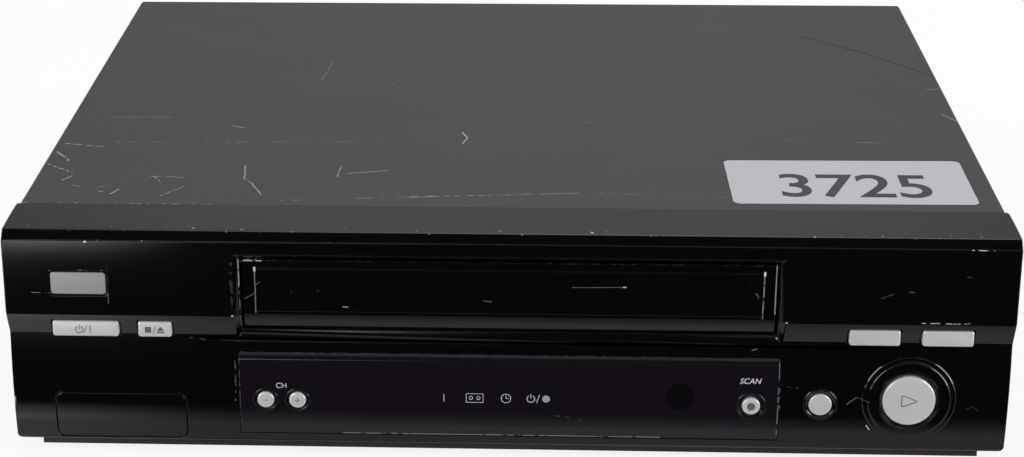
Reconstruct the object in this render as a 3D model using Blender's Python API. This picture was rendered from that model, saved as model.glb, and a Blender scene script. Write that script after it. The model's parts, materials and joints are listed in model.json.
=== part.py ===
"""A front-loading video cassette recorder, built from separate pieces.

Lengths are metres, +Z is up and the front faces -Y. The origin is on the
table under the middle of the machine.
"""

import math

import bmesh
import bpy
from mathutils import Matrix, Vector

MM = 0.001

# Whole machine
WIDTH = 400 * MM
DEPTH = 341 * MM
HEIGHT = 100 * MM
FIT = 0.3 * MM
RUNNING_GAP = 0.4 * MM
OVERRUN = 3 * MM
BLEND = 1 * MM
MERGE = 0.001 * MM
ROUND_SIDES = 20
SMALL_SIDES = 10
CORNER_STEPS = 3
SHARP_ANGLE = math.radians(35)

# Feet and base chassis
FOOT_HEIGHT = 2.6 * MM
FOOT_RADIUS = 9 * MM
FOOT_EDGE = 0.6 * MM
FOOT_FROM_SIDE = 40 * MM
FOOT_FROM_FRONT = 30 * MM
FOOT_FROM_REAR = 24 * MM
BASE_SHEET = 2.5 * MM
BASE_FROM_SIDE = 10 * MM
BASE_FROM_FRONT = 8 * MM
RAIL_SHEET = 2.2 * MM
RAIL_LEDGE_RISE = 3.4 * MM
RAIL_HEIGHT = 17 * MM
POST_RADIUS = 3.2 * MM
POST_CLEARANCE = 1 * MM

# Top cover
COVER_FROM_SIDE = 1.6 * MM
COVER_SHEET = 1 * MM
COVER_BEND = 2.2 * MM
VENT_COUNT = 8
VENT_WIDTH = 2.4 * MM
VENT_HEIGHT = 24 * MM
VENT_PITCH = 8 * MM
VENT_FROM_REAR = 30 * MM
VENT_FROM_TOP = 30 * MM
SCREW_HEAD_RADIUS = 3.4 * MM
SCREW_HEAD_HEIGHT = 1 * MM
SCREW_SHANK_RADIUS = 1.5 * MM
SCREW_LENGTH = 7 * MM
SCREW_RECESS_RADIUS = 0.9 * MM
SCREW_RECESS_DEPTH = 0.6 * MM
SIDE_SCREW_FROM_REAR = 60 * MM
SIDE_SCREW_RISE = 12 * MM

# Front panel
PANEL_WALL = 2.8 * MM
PANEL_LIFT = 2.9 * MM
PANEL_TOP_DEPTH = 28.7 * MM
PANEL_CORNER = 3.5 * MM
PANEL_TOE = 2 * MM
STRIP_FALL = 1.8 * MM
RIDGE_CHAMFER = 3.5 * MM
UPPER_FACE_HEIGHT = 31.5 * MM
BAND_HEIGHT = 10.2 * MM
LOWER_SET_BACK = 3.7 * MM
LOWER_RADIUS = 180 * MM
LOWER_CREST_SHARE = 0.54
LOWER_STEPS = 8

# Cassette opening and its door
BAY_X = 0.7 * MM
SLOT_WIDTH = 213 * MM
SLOT_FROM_RIDGE = 7.2 * MM
SLOT_ABOVE_BAND_FOOT = 2.7 * MM
REVEAL_WIDTH = 2.7 * MM
REVEAL_RISE = 1.9 * MM
REVEAL_FALL = 5 * MM
REVEAL_DEPTH = 2 * MM
REVEAL_REACH_SHARE = 0.3
DOOR_SHEET = 2 * MM
DOOR_SIDE_GAP = 1.2 * MM
DOOR_TOP_GAP = 1.1 * MM
DOOR_FOOT_GAP = 1.3 * MM
DOOR_RAISED_FROM_END = 4.4 * MM
DOOR_RAISED_FROM_TOP = 3.4 * MM
DOOR_RAISED_STEP = 0.5 * MM
DOOR_PIN_RADIUS = 0.8 * MM
DOOR_PIN_LENGTH = 4 * MM
EAR_LENGTH = 4 * MM
EAR_DEPTH = 4 * MM
EAR_HALF_HEIGHT = 3 * MM

# Display window
WINDOW_BEYOND_SLOT = 1.85 * MM
WINDOW_SHEET = 1.5 * MM
WINDOW_PROUD = 0.2 * MM
WINDOW_FOOT_SHARE = 0.099
WINDOW_HEIGHT_SHARE = 0.7516
WINDOW_LEDGE = 4 * MM

# Badge plate
BADGE_WIDTH = 22.6 * MM
BADGE_HEIGHT = 9.8 * MM
BADGE_FROM_SIDE = 18.6 * MM
BADGE_FROM_RIDGE = 13.3 * MM
BADGE_SHEET = 1.2 * MM
BADGE_SINK = 0.9 * MM
BADGE_CORNER = 1.2 * MM

# Front sockets and their flap
FLAP_WIDTH_SHARE = 0.5668
FLAP_HEIGHT_SHARE = 0.4253
FLAP_SIDE_SHARE = 0.184
FLAP_FOOT_RISE = 1.6 * MM
FLAP_CORNER = 3.6 * MM
FLAP_SHEET = 2 * MM
FLAP_GAP = 0.5 * MM
FLAP_PIN_RISE = 3.6 * MM
FLAP_PIN_DEPTH = 1 * MM
FLAP_PIN_RADIUS = 0.5 * MM
FLAP_PIN_LENGTH = 2 * MM
FLAP_CLEARANCE = 1.6 * MM
TRAY_WALL = 1.4 * MM
TRAY_MARGIN = 1.8 * MM
TRAY_SETBACK = 2.4 * MM
JACK_PITCH_SHARE = 0.283
REAR_JACK_PITCH = 15 * MM
JACK_RADIUS = 4.15 * MM
JACK_BORE_RADIUS = 1.7 * MM
JACK_TIP_GAP = 1 * MM

# Keys on the slanted band: widths and places as shares of the field beside the slot
KEY_FRONT = 1.2 * MM
KEY_HEIGHT = 6.7 * MM
KEY_FOOT_RISE = 0.1 * MM
KEY_CORNER = 1 * MM
KEY_EDGE = 0.5 * MM
KEY_DEPTH = 9 * MM
KEY_GAP = 0.4 * MM
KEY_TRAVEL = 1.2 * MM
KEY_STEM_HALF_WIDTH = 2 * MM
KEY_STEM_HALF_HEIGHT = 1.5 * MM
POWER_KEY_SHARE = 0.6706
POWER_KEY_WIDTH_SHARE = 0.2888
STOP_KEY_SHARE = 0.3722
STOP_KEY_WIDTH_SHARE = 0.1476
REWIND_KEY_SHARE = 0.4086
FORWARD_KEY_SHARE = 0.7155
TAPE_KEY_WIDTH_SHARE = 0.2182

# Round buttons: places across the same field and up the lower face
PLAY_SHARE = 0.5711
PLAY_RISE_SHARE = 0.4905
PLAY_RADIUS = 10.7 * MM
PLAY_PROUD = 1 * MM
DISH_RADIUS = 18 * MM
DISH_FLOOR_RADIUS = 12.4 * MM
DISH_DEPTH = 1.6 * MM
RECORD_SHARE = 0.1968
RECORD_RISE_SHARE = 0.44
RECORD_RADIUS = 4.6 * MM
RECORD_PROUD = 0.6 * MM
CHANNEL_FROM_END = 10.55 * MM
CHANNEL_PITCH = 12.9 * MM
CHANNEL_RADIUS = 3.5 * MM
SCAN_FROM_END = 10.95 * MM
SCAN_RADIUS = 3.6 * MM
WINDOW_BUTTON_RISE_SHARE = 0.419
WINDOW_BUTTON_PROUD = 0.8 * MM
BUTTON_EDGE = 0.4 * MM
BUTTON_FLANGE = 1 * MM
BUTTON_FLANGE_SHEET = 1.2 * MM
BUTTON_STEM_RADIUS = 1.4 * MM
BUTTON_GAP = 0.3 * MM

# Circuit boards
BOARD_SHEET = 1.6 * MM
FRONT_BOARD_FROM_FRONT = 17 * MM
FRONT_BOARD_FROM_SIDE = 10 * MM
FRONT_BOARD_ABOVE_BAND = 9.3 * MM
FRONT_BOARD_SILL_GAP = 2 * MM
MAIN_BOARD_RISE = 3.6 * MM
MAIN_BOARD_FROM_SIDE = 12 * MM
MAIN_BOARD_FROM_FRONT = 26 * MM
MAIN_BOARD_FROM_REAR = 12 * MM
BOARD_BESIDE_DECK = 1.7 * MM
BOARD_SPLIT_GAP = 3 * MM
POWER_BOARD_FROM_FRONT = 110 * MM
BOARD_POST_INSET = 7 * MM
IR_FROM_END = 39.35 * MM
IR_RISE_SHARE = 0.499
IR_RADIUS = 4.5 * MM
IR_HEIGHT = 6 * MM
TRANSFORMER_WIDTH_SHARE = 0.71
TRANSFORMER_DEPTH = 38 * MM
TRANSFORMER_HEIGHT = 36 * MM
TRANSFORMER_FLANGE = 6 * MM
TRANSFORMER_FLANGE_HEIGHT = 8 * MM
TRANSFORMER_FROM_REAR = 60 * MM
CAPACITOR_RADIUS = 9 * MM
CAPACITOR_HEIGHT = 26 * MM
CAPACITOR_AHEAD = 42 * MM
CAPACITOR_EDGE = 1 * MM

# Rear panel and its sockets
REAR_RECESS = 5 * MM
REAR_SHEET = 1.5 * MM
SOCKET_REACH = 2.5 * MM
SCART_FROM_TUNER = 72 * MM
SCART_PITCH = 56 * MM
SCART_WIDTH = 48 * MM
SCART_HEIGHT = 15.5 * MM
SCART_DEPTH = 16 * MM
SCART_WALL = 2.6 * MM
SCART_POCKET_DEPTH = 10 * MM
SCART_CORNER = 3 * MM
TUNER_FROM_SIDE = 50 * MM
TUNER_WIDTH = 44 * MM
TUNER_DEPTH = 46 * MM
TUNER_HEIGHT = 50 * MM
AERIAL_RADIUS = 6 * MM
AERIAL_BORE_RADIUS = 4.8 * MM
AERIAL_FROM_TOP = 12 * MM
AERIAL_PITCH = 20 * MM
AERIAL_END_GAP = 0.2 * MM
AUDIO_FROM_SCART = 50 * MM
AUDIO_WIDTH = 32 * MM
AUDIO_HEIGHT = 14 * MM
AUDIO_DEPTH = 12 * MM
GLAND_FROM_SIDE = 50 * MM
GLAND_RISE_SHARE = 0.3
GLAND_RADIUS = 6.5 * MM
GLAND_FLANGE = 2 * MM
GLAND_FLANGE_SHEET = 1.6 * MM
GLAND_SLOT_WIDTH = 6.6 * MM
GLAND_SLOT_HEIGHT = 3.8 * MM

# Cassette and its holder
CASSETTE_WIDTH = 187 * MM
CASSETTE_HEIGHT = 25 * MM
CASSETTE_ABOVE_SLOT = 3.3 * MM
CASSETTE_SIDE_GAP = 1 * MM
CASSETTE_TOP_GAP = 0.5 * MM
HOLDER_SHEET = 1.2 * MM
HOLDER_DEPTH = 62 * MM
HOLDER_LIP = 12 * MM
HOLDER_STOP = 8 * MM
HOLDER_FROM_DOOR = 4 * MM
HOLDER_TRAVEL = 45 * MM
CASSETTE_ABOVE_DECK = 9.5 * MM
HOLDER_WINDOW_WIDTH = 60 * MM
HOLDER_WINDOW_MARGIN = 12 * MM
HOLDER_PIN_RISE = 11 * MM
GUIDE_PIN_RADIUS = 1.6 * MM
FRONT_PIN_SETBACK = 14 * MM
PIN_SPACING = 30 * MM
PLATE_GAP = 0.6 * MM
SLIDER_SHEET = 1.5 * MM
SLIDER_FROM_HOLDER_FRONT = 6 * MM
SLIDER_DEPTH = 50 * MM
SLIDER_FOOT = 6 * MM
SLIDER_PIN_RISE = 16.5 * MM
SLIDER_TOP = 4.5 * MM
TIE_HEIGHT = 2 * MM
TIE_DEPTH = 10 * MM
TIE_GAP = 1.6 * MM
BRACKET_SHEET = 1.5 * MM
BRACKET_MARGIN = 12 * MM
BRACKET_TOP = 8 * MM
BRACKET_FLANGE = 8 * MM
PIN_OUTREACH = 0.8 * MM

# Deck chassis
DECK_Z = 30 * MM
DECK_SHEET = 1.5 * MM
DECK_MARGIN = 2 * MM
DECK_AHEAD = 8 * MM
DECK_BEHIND_DRUM = 56 * MM
DECK_POST_RADIUS = 4 * MM
DECK_POST_INSET = 10 * MM

# Tape path, from the middle of the bay and from the loaded cassette's rear edge
DRUM_BEHIND = 50 * MM
DRUM_RADIUS = 31 * MM
DRUM_TILT = math.radians(5.96)
DRUM_SEAT = 2 * MM
DRUM_SEAT_RADIUS = 33 * MM
DRUM_LOWER_HEIGHT = 14 * MM
DRUM_UPPER_HEIGHT = 10.5 * MM
DRUM_GAP = 0.5 * MM
DRUM_EDGE = 1 * MM
DRUM_HUB_RADIUS = 14 * MM
DRUM_HUB_SINK = 2.5 * MM
DRUM_PIN_RADIUS = 3 * MM
DRUM_PIN_SINK = 2 * MM
REEL_SPACING = 92 * MM
REEL_AHEAD = 53 * MM
REEL_TABLE_RADIUS = 17 * MM
REEL_TABLE_SHEET = 4 * MM
REEL_HUB_RADIUS = 8 * MM
REEL_TIP_RADIUS = 5 * MM
REEL_HEIGHT = 18 * MM
REEL_TIP = 4 * MM
AXLE_RADIUS = 2 * MM
AXLE_SINK = 4 * MM
CAPSTAN_X = 61.3 * MM
CAPSTAN_BEHIND = 9.6 * MM
CAPSTAN_RADIUS = 2 * MM
CAPSTAN_TOP = 24 * MM
BEARING_RADIUS = 5 * MM
BEARING_HEIGHT = 3.6 * MM
FLYWHEEL_RADIUS = 22 * MM
FLYWHEEL_HEIGHT = 7 * MM
FLYWHEEL_BELOW_DECK = 5 * MM
CLUTCH_AHEAD = 32 * MM
CLUTCH_RADIUS = 11 * MM
BELT_SHEET = 1.2 * MM
BELT_HEIGHT = 4 * MM
PINCH_X = 84 * MM
PINCH_BEHIND = 25.6 * MM
PINCH_ARM_WIDTH = 8 * MM
PINCH_ARM_SHEET = 2 * MM
PINCH_ROLLER_RADIUS = 6.5 * MM
PINCH_ROLLER_HEIGHT = 13 * MM
PINCH_SWING = math.radians(25)
PINCH_CONTACT_GAP = 0.4 * MM
PINCH_PIN_REACH = 1.5 * MM
HEAD_BEHIND = 19.6 * MM
CONTROL_HEAD_X = 49 * MM
ERASE_HEAD_X = -61 * MM
ERASE_HEAD_BEHIND = 27 * MM
HEAD_WIDTH = 8 * MM
HEAD_DEPTH = 8 * MM
HEAD_HEIGHT = 20 * MM
HEAD_FOOT = 2 * MM
HEAD_FOOT_SHEET = 2 * MM
GUIDE_START_X = 29 * MM
GUIDE_START_AHEAD = 10.4 * MM
GUIDE_END_X = 38 * MM
GUIDE_END_BEHIND = 34 * MM
GUIDE_BASE_RADIUS = 5 * MM
GUIDE_BASE_SHEET = 3 * MM
GUIDE_ROLLER_RADIUS = 2.6 * MM
GUIDE_TOP = 22 * MM
GUIDE_STEM_RADIUS = 1.8 * MM
TENSION_X = -78 * MM
TENSION_AHEAD = 8 * MM
TENSION_LENGTH = 24 * MM
TENSION_ARM_WIDTH = 6 * MM
TENSION_ARM_SHEET = 1.6 * MM
TENSION_ANGLE = math.radians(50)
TENSION_POST_RADIUS = 1.6 * MM
TENSION_TOP = 18 * MM

# Loading gears
GEAR_PITCH_PER_TOOTH = 0.6 * MM
CAM_TEETH = 36
PINION_TEETH = 12
GEAR_TOP = 1 * MM
GEAR_ROOT = 1.7 * MM
GEAR_FLANK_SHARE = 0.33
GEAR_CREST_SHARE = 0.14
GEAR_HEIGHT = 6 * MM
CAM_X = 70 * MM
CAM_BEHIND_DRUM = 24 * MM
PINION_ANGLE = math.radians(135)
MOTOR_RADIUS = 10 * MM
MOTOR_HEIGHT = 17 * MM
MOTOR_SHAFT_RADIUS = 1.2 * MM

# Planes worked out from the sizes above
FRONT_Y = -DEPTH / 2
REAR_Y = DEPTH / 2
SEAM_Y = FRONT_Y + PANEL_TOP_DEPTH
BASE_Z = FOOT_HEIGHT
FLOOR_Z = BASE_Z + BASE_SHEET
PANEL_FOOT_Z = BASE_Z + PANEL_LIFT
RIDGE_Z = HEIGHT - STRIP_FALL - RIDGE_CHAMFER
UPPER_FOOT_Z = RIDGE_Z - UPPER_FACE_HEIGHT
BAND_FOOT_Z = UPPER_FOOT_Z - BAND_HEIGHT
CREST_Z = PANEL_FOOT_Z + (BAND_FOOT_Z - PANEL_FOOT_Z) * LOWER_CREST_SHARE
SLOT_TOP_Z = RIDGE_Z - SLOT_FROM_RIDGE
SLOT_FOOT_Z = BAND_FOOT_Z + SLOT_ABOVE_BAND_FOOT
SLOT_LEFT = BAY_X - SLOT_WIDTH / 2
SLOT_RIGHT = BAY_X + SLOT_WIDTH / 2
COVER_HALF = WIDTH / 2 - COVER_FROM_SIDE
RAIL_HALF = COVER_HALF - COVER_SHEET - FIT
BASE_HALF = WIDTH / 2 - BASE_FROM_SIDE
REAR_PANEL_Y = REAR_Y - REAR_RECESS - REAR_SHEET
BOARD_Z = FLOOR_Z + MAIN_BOARD_RISE
BOARD_TOP_Z = BOARD_Z + BOARD_SHEET
FRONT_BOARD_Y = FRONT_Y + FRONT_BOARD_FROM_FRONT
DOOR_Y = FRONT_Y + REVEAL_DEPTH
DOOR_TOP_Z = SLOT_TOP_Z - DOOR_TOP_GAP
DOOR_FOOT_Z = SLOT_FOOT_Z + DOOR_FOOT_GAP
DOOR_HINGE_Y = DOOR_Y + DOOR_SHEET / 2
DOOR_HINGE_Z = DOOR_TOP_Z - DOOR_SHEET / 2
LOWER_HEIGHT = BAND_FOOT_Z - PANEL_FOOT_Z
FIELD = (WIDTH - SLOT_WIDTH) / 2
WINDOW_WIDTH = SLOT_WIDTH + 2 * WINDOW_BEYOND_SLOT
WINDOW_FOOT_Z = PANEL_FOOT_Z + LOWER_HEIGHT * WINDOW_FOOT_SHARE
WINDOW_TOP_Z = WINDOW_FOOT_Z + LOWER_HEIGHT * WINDOW_HEIGHT_SHARE
WINDOW_BUTTON_Z = PANEL_FOOT_Z + LOWER_HEIGHT * WINDOW_BUTTON_RISE_SHARE
CHANNEL_DOWN_X = BAY_X - WINDOW_WIDTH / 2 + CHANNEL_FROM_END
CHANNEL_UP_X = CHANNEL_DOWN_X + CHANNEL_PITCH
SCAN_X = BAY_X + WINDOW_WIDTH / 2 - SCAN_FROM_END
IR_X = BAY_X + WINDOW_WIDTH / 2 - IR_FROM_END
IR_Z = PANEL_FOOT_Z + LOWER_HEIGHT * IR_RISE_SHARE
PLAY_X = BAY_X + SLOT_WIDTH / 2 + FIELD * PLAY_SHARE
PLAY_Z = PANEL_FOOT_Z + LOWER_HEIGHT * PLAY_RISE_SHARE
RECORD_X = BAY_X + SLOT_WIDTH / 2 + FIELD * RECORD_SHARE
RECORD_Z = PANEL_FOOT_Z + LOWER_HEIGHT * RECORD_RISE_SHARE
FLAP_LEFT = -WIDTH / 2 + FIELD * FLAP_SIDE_SHARE
FLAP_RIGHT = FLAP_LEFT + FIELD * FLAP_WIDTH_SHARE
JACK_PITCH = (FLAP_RIGHT - FLAP_LEFT) * JACK_PITCH_SHARE
FLAP_FOOT_Z = PANEL_FOOT_Z + FLAP_FOOT_RISE
FLAP_TOP_Z = FLAP_FOOT_Z + LOWER_HEIGHT * FLAP_HEIGHT_SHARE
CASSETTE_Z = SLOT_FOOT_Z + CASSETTE_ABOVE_SLOT
DECK_TOP_Z = DECK_Z + DECK_SHEET
HOLDER_DROP = CASSETTE_Z - DECK_TOP_Z - CASSETTE_ABOVE_DECK
TUNER_X = WIDTH / 2 - TUNER_FROM_SIDE
SCART_FIRST_X = TUNER_X - SCART_FROM_TUNER
AUDIO_X = SCART_FIRST_X - SCART_PITCH - AUDIO_FROM_SCART
GLAND_X = -WIDTH / 2 + GLAND_FROM_SIDE
GLAND_Z = HEIGHT * GLAND_RISE_SHARE
SEAT_Z = DECK_TOP_Z + FIT


def clear_scene():
    for obj in list(bpy.data.objects):
        bpy.data.objects.remove(obj)


# Shapes
def place(axis, along, a, b):
    """A point from its place along an axis and its other two coordinates, in X, Y, Z order."""
    if axis == "X":
        return Vector((along, a, b))
    if axis == "Y":
        return Vector((a, along, b))
    return Vector((a, b, along))


def loft(rings):
    """A closed solid through rings of points, all of one count."""
    bm = bmesh.new()
    made = [[bm.verts.new(point) for point in ring] for ring in rings]
    count = len(made[0])
    for low, high in zip(made, made[1:]):
        for i in range(count):
            j = (i + 1) % count
            bm.faces.new((low[i], low[j], high[j], high[i]))
    bm.faces.new(made[0])
    bm.faces.new(made[-1])
    bmesh.ops.recalc_face_normals(bm, faces=bm.faces)
    return bm


def prism(outline, axis, start, end):
    return loft([[place(axis, along, a, b) for a, b in outline] for along in (start, end)])


def block(low, high):
    """A box between two corners."""
    bm = bmesh.new()
    low, high = Vector(low), Vector(high)
    bmesh.ops.create_cube(bm, size=1)
    matrix = Matrix.LocRotScale((low + high) / 2, None, high - low)
    bmesh.ops.transform(bm, verts=bm.verts, matrix=matrix)
    return bm


def arc(a, b, radius, start, end, steps):
    """Points on an arc from one angle to another, in radians."""
    angles = [start + (end - start) * step / steps for step in range(steps + 1)]
    return [(a + radius * math.cos(t), b + radius * math.sin(t)) for t in angles]


def circle(a, b, radius, sides=ROUND_SIDES):
    return arc(a, b, radius, 0, 2 * math.pi, sides)[:-1]


def rectangle(a0, a1, b0, b1):
    return [(a0, b0), (a1, b0), (a1, b1), (a0, b1)]


def rounded(a0, a1, b0, b1, radius, steps=CORNER_STEPS):
    corners = ((a1, b1, -1, -1), (a0, b1, 1, -1), (a0, b0, 1, 1), (a1, b0, -1, 1))
    points = []
    for turn, (a, b, to_a, to_b) in enumerate(corners):
        start = turn * math.pi / 2
        points += arc(a + to_a * radius, b + to_b * radius, radius, start, start + math.pi / 2, steps)
    return points


def cylinder(axis, a, b, radius, start, end, sides=ROUND_SIDES):
    return prism(circle(a, b, radius, sides), axis, start, end)


def turned(axis, a, b, profile, sides=ROUND_SIDES):
    """A solid turned round an axis from (radius, along) pairs, none of them on the axis."""
    return loft([[place(axis, along, *p) for p in circle(a, b, radius, sides)] for radius, along in profile])


def lens(a0, b0, a1, b1, radius, sides=ROUND_SIDES):
    """The outline of a slot with round ends between two centres."""
    heading = math.atan2(b1 - b0, a1 - a0)
    quarter = math.pi / 2
    half = sides // 2
    near = arc(a0, b0, radius, heading + quarter, heading + 3 * quarter, half)
    return near + arc(a1, b1, radius, heading - quarter, heading + quarter, half)


# Pieces, and the solids that are joined to them or cut from them
def finish(name, colour, roughness, metallic=0.0):
    material = bpy.data.materials.get(name) or bpy.data.materials.new(name)
    material.use_nodes = True
    shader = material.node_tree.nodes["Principled BSDF"]
    shader.inputs["Base Color"].default_value = (*colour, 1)
    shader.inputs["Roughness"].default_value = roughness
    shader.inputs["Metallic"].default_value = metallic
    return material


def solid(name, bm):
    mesh = bpy.data.meshes.new(name)
    bm.to_mesh(mesh)
    bm.free()
    obj = bpy.data.objects.new(name, mesh)
    return obj


def piece(name, bm, material, centre=(0, 0, 0)):
    """A named piece, modelled in place, with its origin at its centre or on its joint's axis."""
    obj = solid(name, bm)
    obj.data.transform(Matrix.Translation(-Vector(centre)))
    obj.location = centre
    obj.data.materials.append(material)
    obj.data.shade_smooth()
    obj.data.set_sharp_from_angle(angle=SHARP_ANGLE)
    bpy.context.scene.collection.objects.link(obj)
    return obj


def combine(obj, operation, shapes):
    """One Boolean with all the shapes, which stay as hidden helpers."""
    number = len(obj.modifiers)
    helpers = bpy.data.collections.new(f"{obj.name}_helpers_{number}")
    bpy.context.scene.collection.children.link(helpers)
    for count, shape in enumerate(shapes):
        helper = solid(f"{obj.name}_helper_{number}_{count}", shape)
        helper.hide_render = True
        helper.display_type = "WIRE"
        helpers.objects.link(helper)
    modifier = obj.modifiers.new(f"{operation.lower()} {number}", "BOOLEAN")
    modifier.operation = operation
    modifier.solver = "EXACT"
    modifier.operand_type = "COLLECTION"
    modifier.collection = helpers


def join(obj, *shapes):
    combine(obj, "UNION", shapes)


def cut(obj, *shapes):
    combine(obj, "DIFFERENCE", shapes)


BLACK_GLOSS = finish("black_gloss", (0.006, 0.006, 0.007), 0.12)
BLACK_MATTE = finish("black_matte", (0.02, 0.02, 0.02), 0.6)
COVER_PAINT = finish("cover_paint", (0.065, 0.068, 0.066), 0.45)
SMOKED = finish("smoked_window", (0.008, 0.005, 0.012), 0.08)
SILVER = finish("silver_paint", (0.6, 0.61, 0.62), 0.35, 0.3)
CHROME = finish("chrome", (0.8, 0.8, 0.8), 0.15, 1.0)
RUBBER = finish("rubber", (0.03, 0.03, 0.03), 0.85)
ZINC = finish("zinc_steel", (0.55, 0.55, 0.56), 0.35, 1.0)
STEEL = finish("bright_steel", (0.7, 0.7, 0.7), 0.2, 1.0)
CAST = finish("cast_aluminium", (0.6, 0.6, 0.6), 0.4, 1.0)
CIRCUIT = finish("circuit_board", (0.25, 0.13, 0.04), 0.55)
WHITE_PLASTIC = finish("white_plastic", (0.7, 0.7, 0.66), 0.5)
CORE_STEEL = finish("transformer_core", (0.12, 0.12, 0.13), 0.5, 0.6)
SLEEVE = finish("capacitor_sleeve", (0.02, 0.03, 0.09), 0.35)


# The front panel's shape, seen from the side
def lower_y(z, behind=0):
    """Where the bulging lower face is at a height, or a surface at a depth behind it."""
    fall = z - CREST_Z
    inner = LOWER_RADIUS - behind
    return FRONT_Y + LOWER_SET_BACK + LOWER_RADIUS - math.sqrt(inner**2 - fall**2)


def lower_strip(z_low, z_high, front, back):
    """A curved strip of the lower face between two heights and two depths."""
    heights = [z_low + (z_high - z_low) * step / LOWER_STEPS for step in range(LOWER_STEPS + 1)]
    near = [(lower_y(z, front), z) for z in heights]
    return near + [(lower_y(z, back), z) for z in reversed(heights)]


def panel_outline(wall, rear):
    """The outside of the panel for a wall of zero, or its inside behind a wall."""
    foot = PANEL_FOOT_Z + wall
    toe = 0 if wall else PANEL_TOE
    low = foot + toe
    heights = [BAND_FOOT_Z + (low - BAND_FOOT_Z) * step / LOWER_STEPS for step in range(LOWER_STEPS + 1)]
    lower = [(lower_y(z, wall), z) for z in heights]
    rounding = []
    if toe:
        rounding = arc(lower_y(low) + toe, low, toe, math.pi, 3 * math.pi / 2, CORNER_STEPS)[1:]
    return [
        (rear, HEIGHT - wall),
        (SEAM_Y, HEIGHT - wall),
        (FRONT_Y + RIDGE_CHAMFER + wall, RIDGE_Z + RIDGE_CHAMFER - wall),
        (FRONT_Y + wall, RIDGE_Z - wall),
        (FRONT_Y + wall, UPPER_FOOT_Z),
        *lower,
        *rounding,
        (rear, foot),
    ][0 if wall else 1:]


def reveal():
    """The sloping rim of the cassette opening, reaching out past the panel's face."""
    rings = []
    outer = {
        "top": (FRONT_Y, SLOT_TOP_Z + REVEAL_RISE),
        "foot": (lower_y(SLOT_FOOT_Z - REVEAL_FALL), SLOT_FOOT_Z - REVEAL_FALL),
    }
    inner = {
        "top": (FRONT_Y + REVEAL_DEPTH, SLOT_TOP_Z),
        "foot": (lower_y(SLOT_FOOT_Z - REVEAL_FALL) + REVEAL_DEPTH, SLOT_FOOT_Z),
    }
    for reach in (1 + REVEAL_REACH_SHARE, -REVEAL_REACH_SHARE):
        wide = REVEAL_WIDTH * reach
        corners = []
        for edge, sides in (("top", (-1, 1)), ("foot", (1, -1))):
            y = inner[edge][0] + (outer[edge][0] - inner[edge][0]) * reach
            z = inner[edge][1] + (outer[edge][1] - inner[edge][1]) * reach
            corners += [(BAY_X + side * (SLOT_WIDTH / 2 + wide), y, z) for side in sides]
        rings.append(corners)
    return loft(rings)


def key_outline(x, width, grow):
    foot = BAND_FOOT_Z + KEY_FOOT_RISE
    half = width / 2 + grow
    return rounded(x - half, x + half, foot - grow, foot + KEY_HEIGHT + grow, KEY_CORNER)


def key_place(side, place_share, width_share):
    """Middle and width of a key in the field beside the slot."""
    return BAY_X + side * (SLOT_WIDTH / 2 + FIELD * place_share), FIELD * width_share


KEYS = {
    "power_button": key_place(-1, POWER_KEY_SHARE, POWER_KEY_WIDTH_SHARE),
    "stop_eject_button": key_place(-1, STOP_KEY_SHARE, STOP_KEY_WIDTH_SHARE),
    "rewind_button": key_place(1, REWIND_KEY_SHARE, TAPE_KEY_WIDTH_SHARE),
    "forward_button": key_place(1, FORWARD_KEY_SHARE, TAPE_KEY_WIDTH_SHARE),
}
WINDOW_BUTTONS = {
    "channel_down_button": (CHANNEL_DOWN_X, CHANNEL_RADIUS),
    "channel_up_button": (CHANNEL_UP_X, CHANNEL_RADIUS),
    "scan_button": (SCAN_X, SCAN_RADIUS),
}


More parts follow.
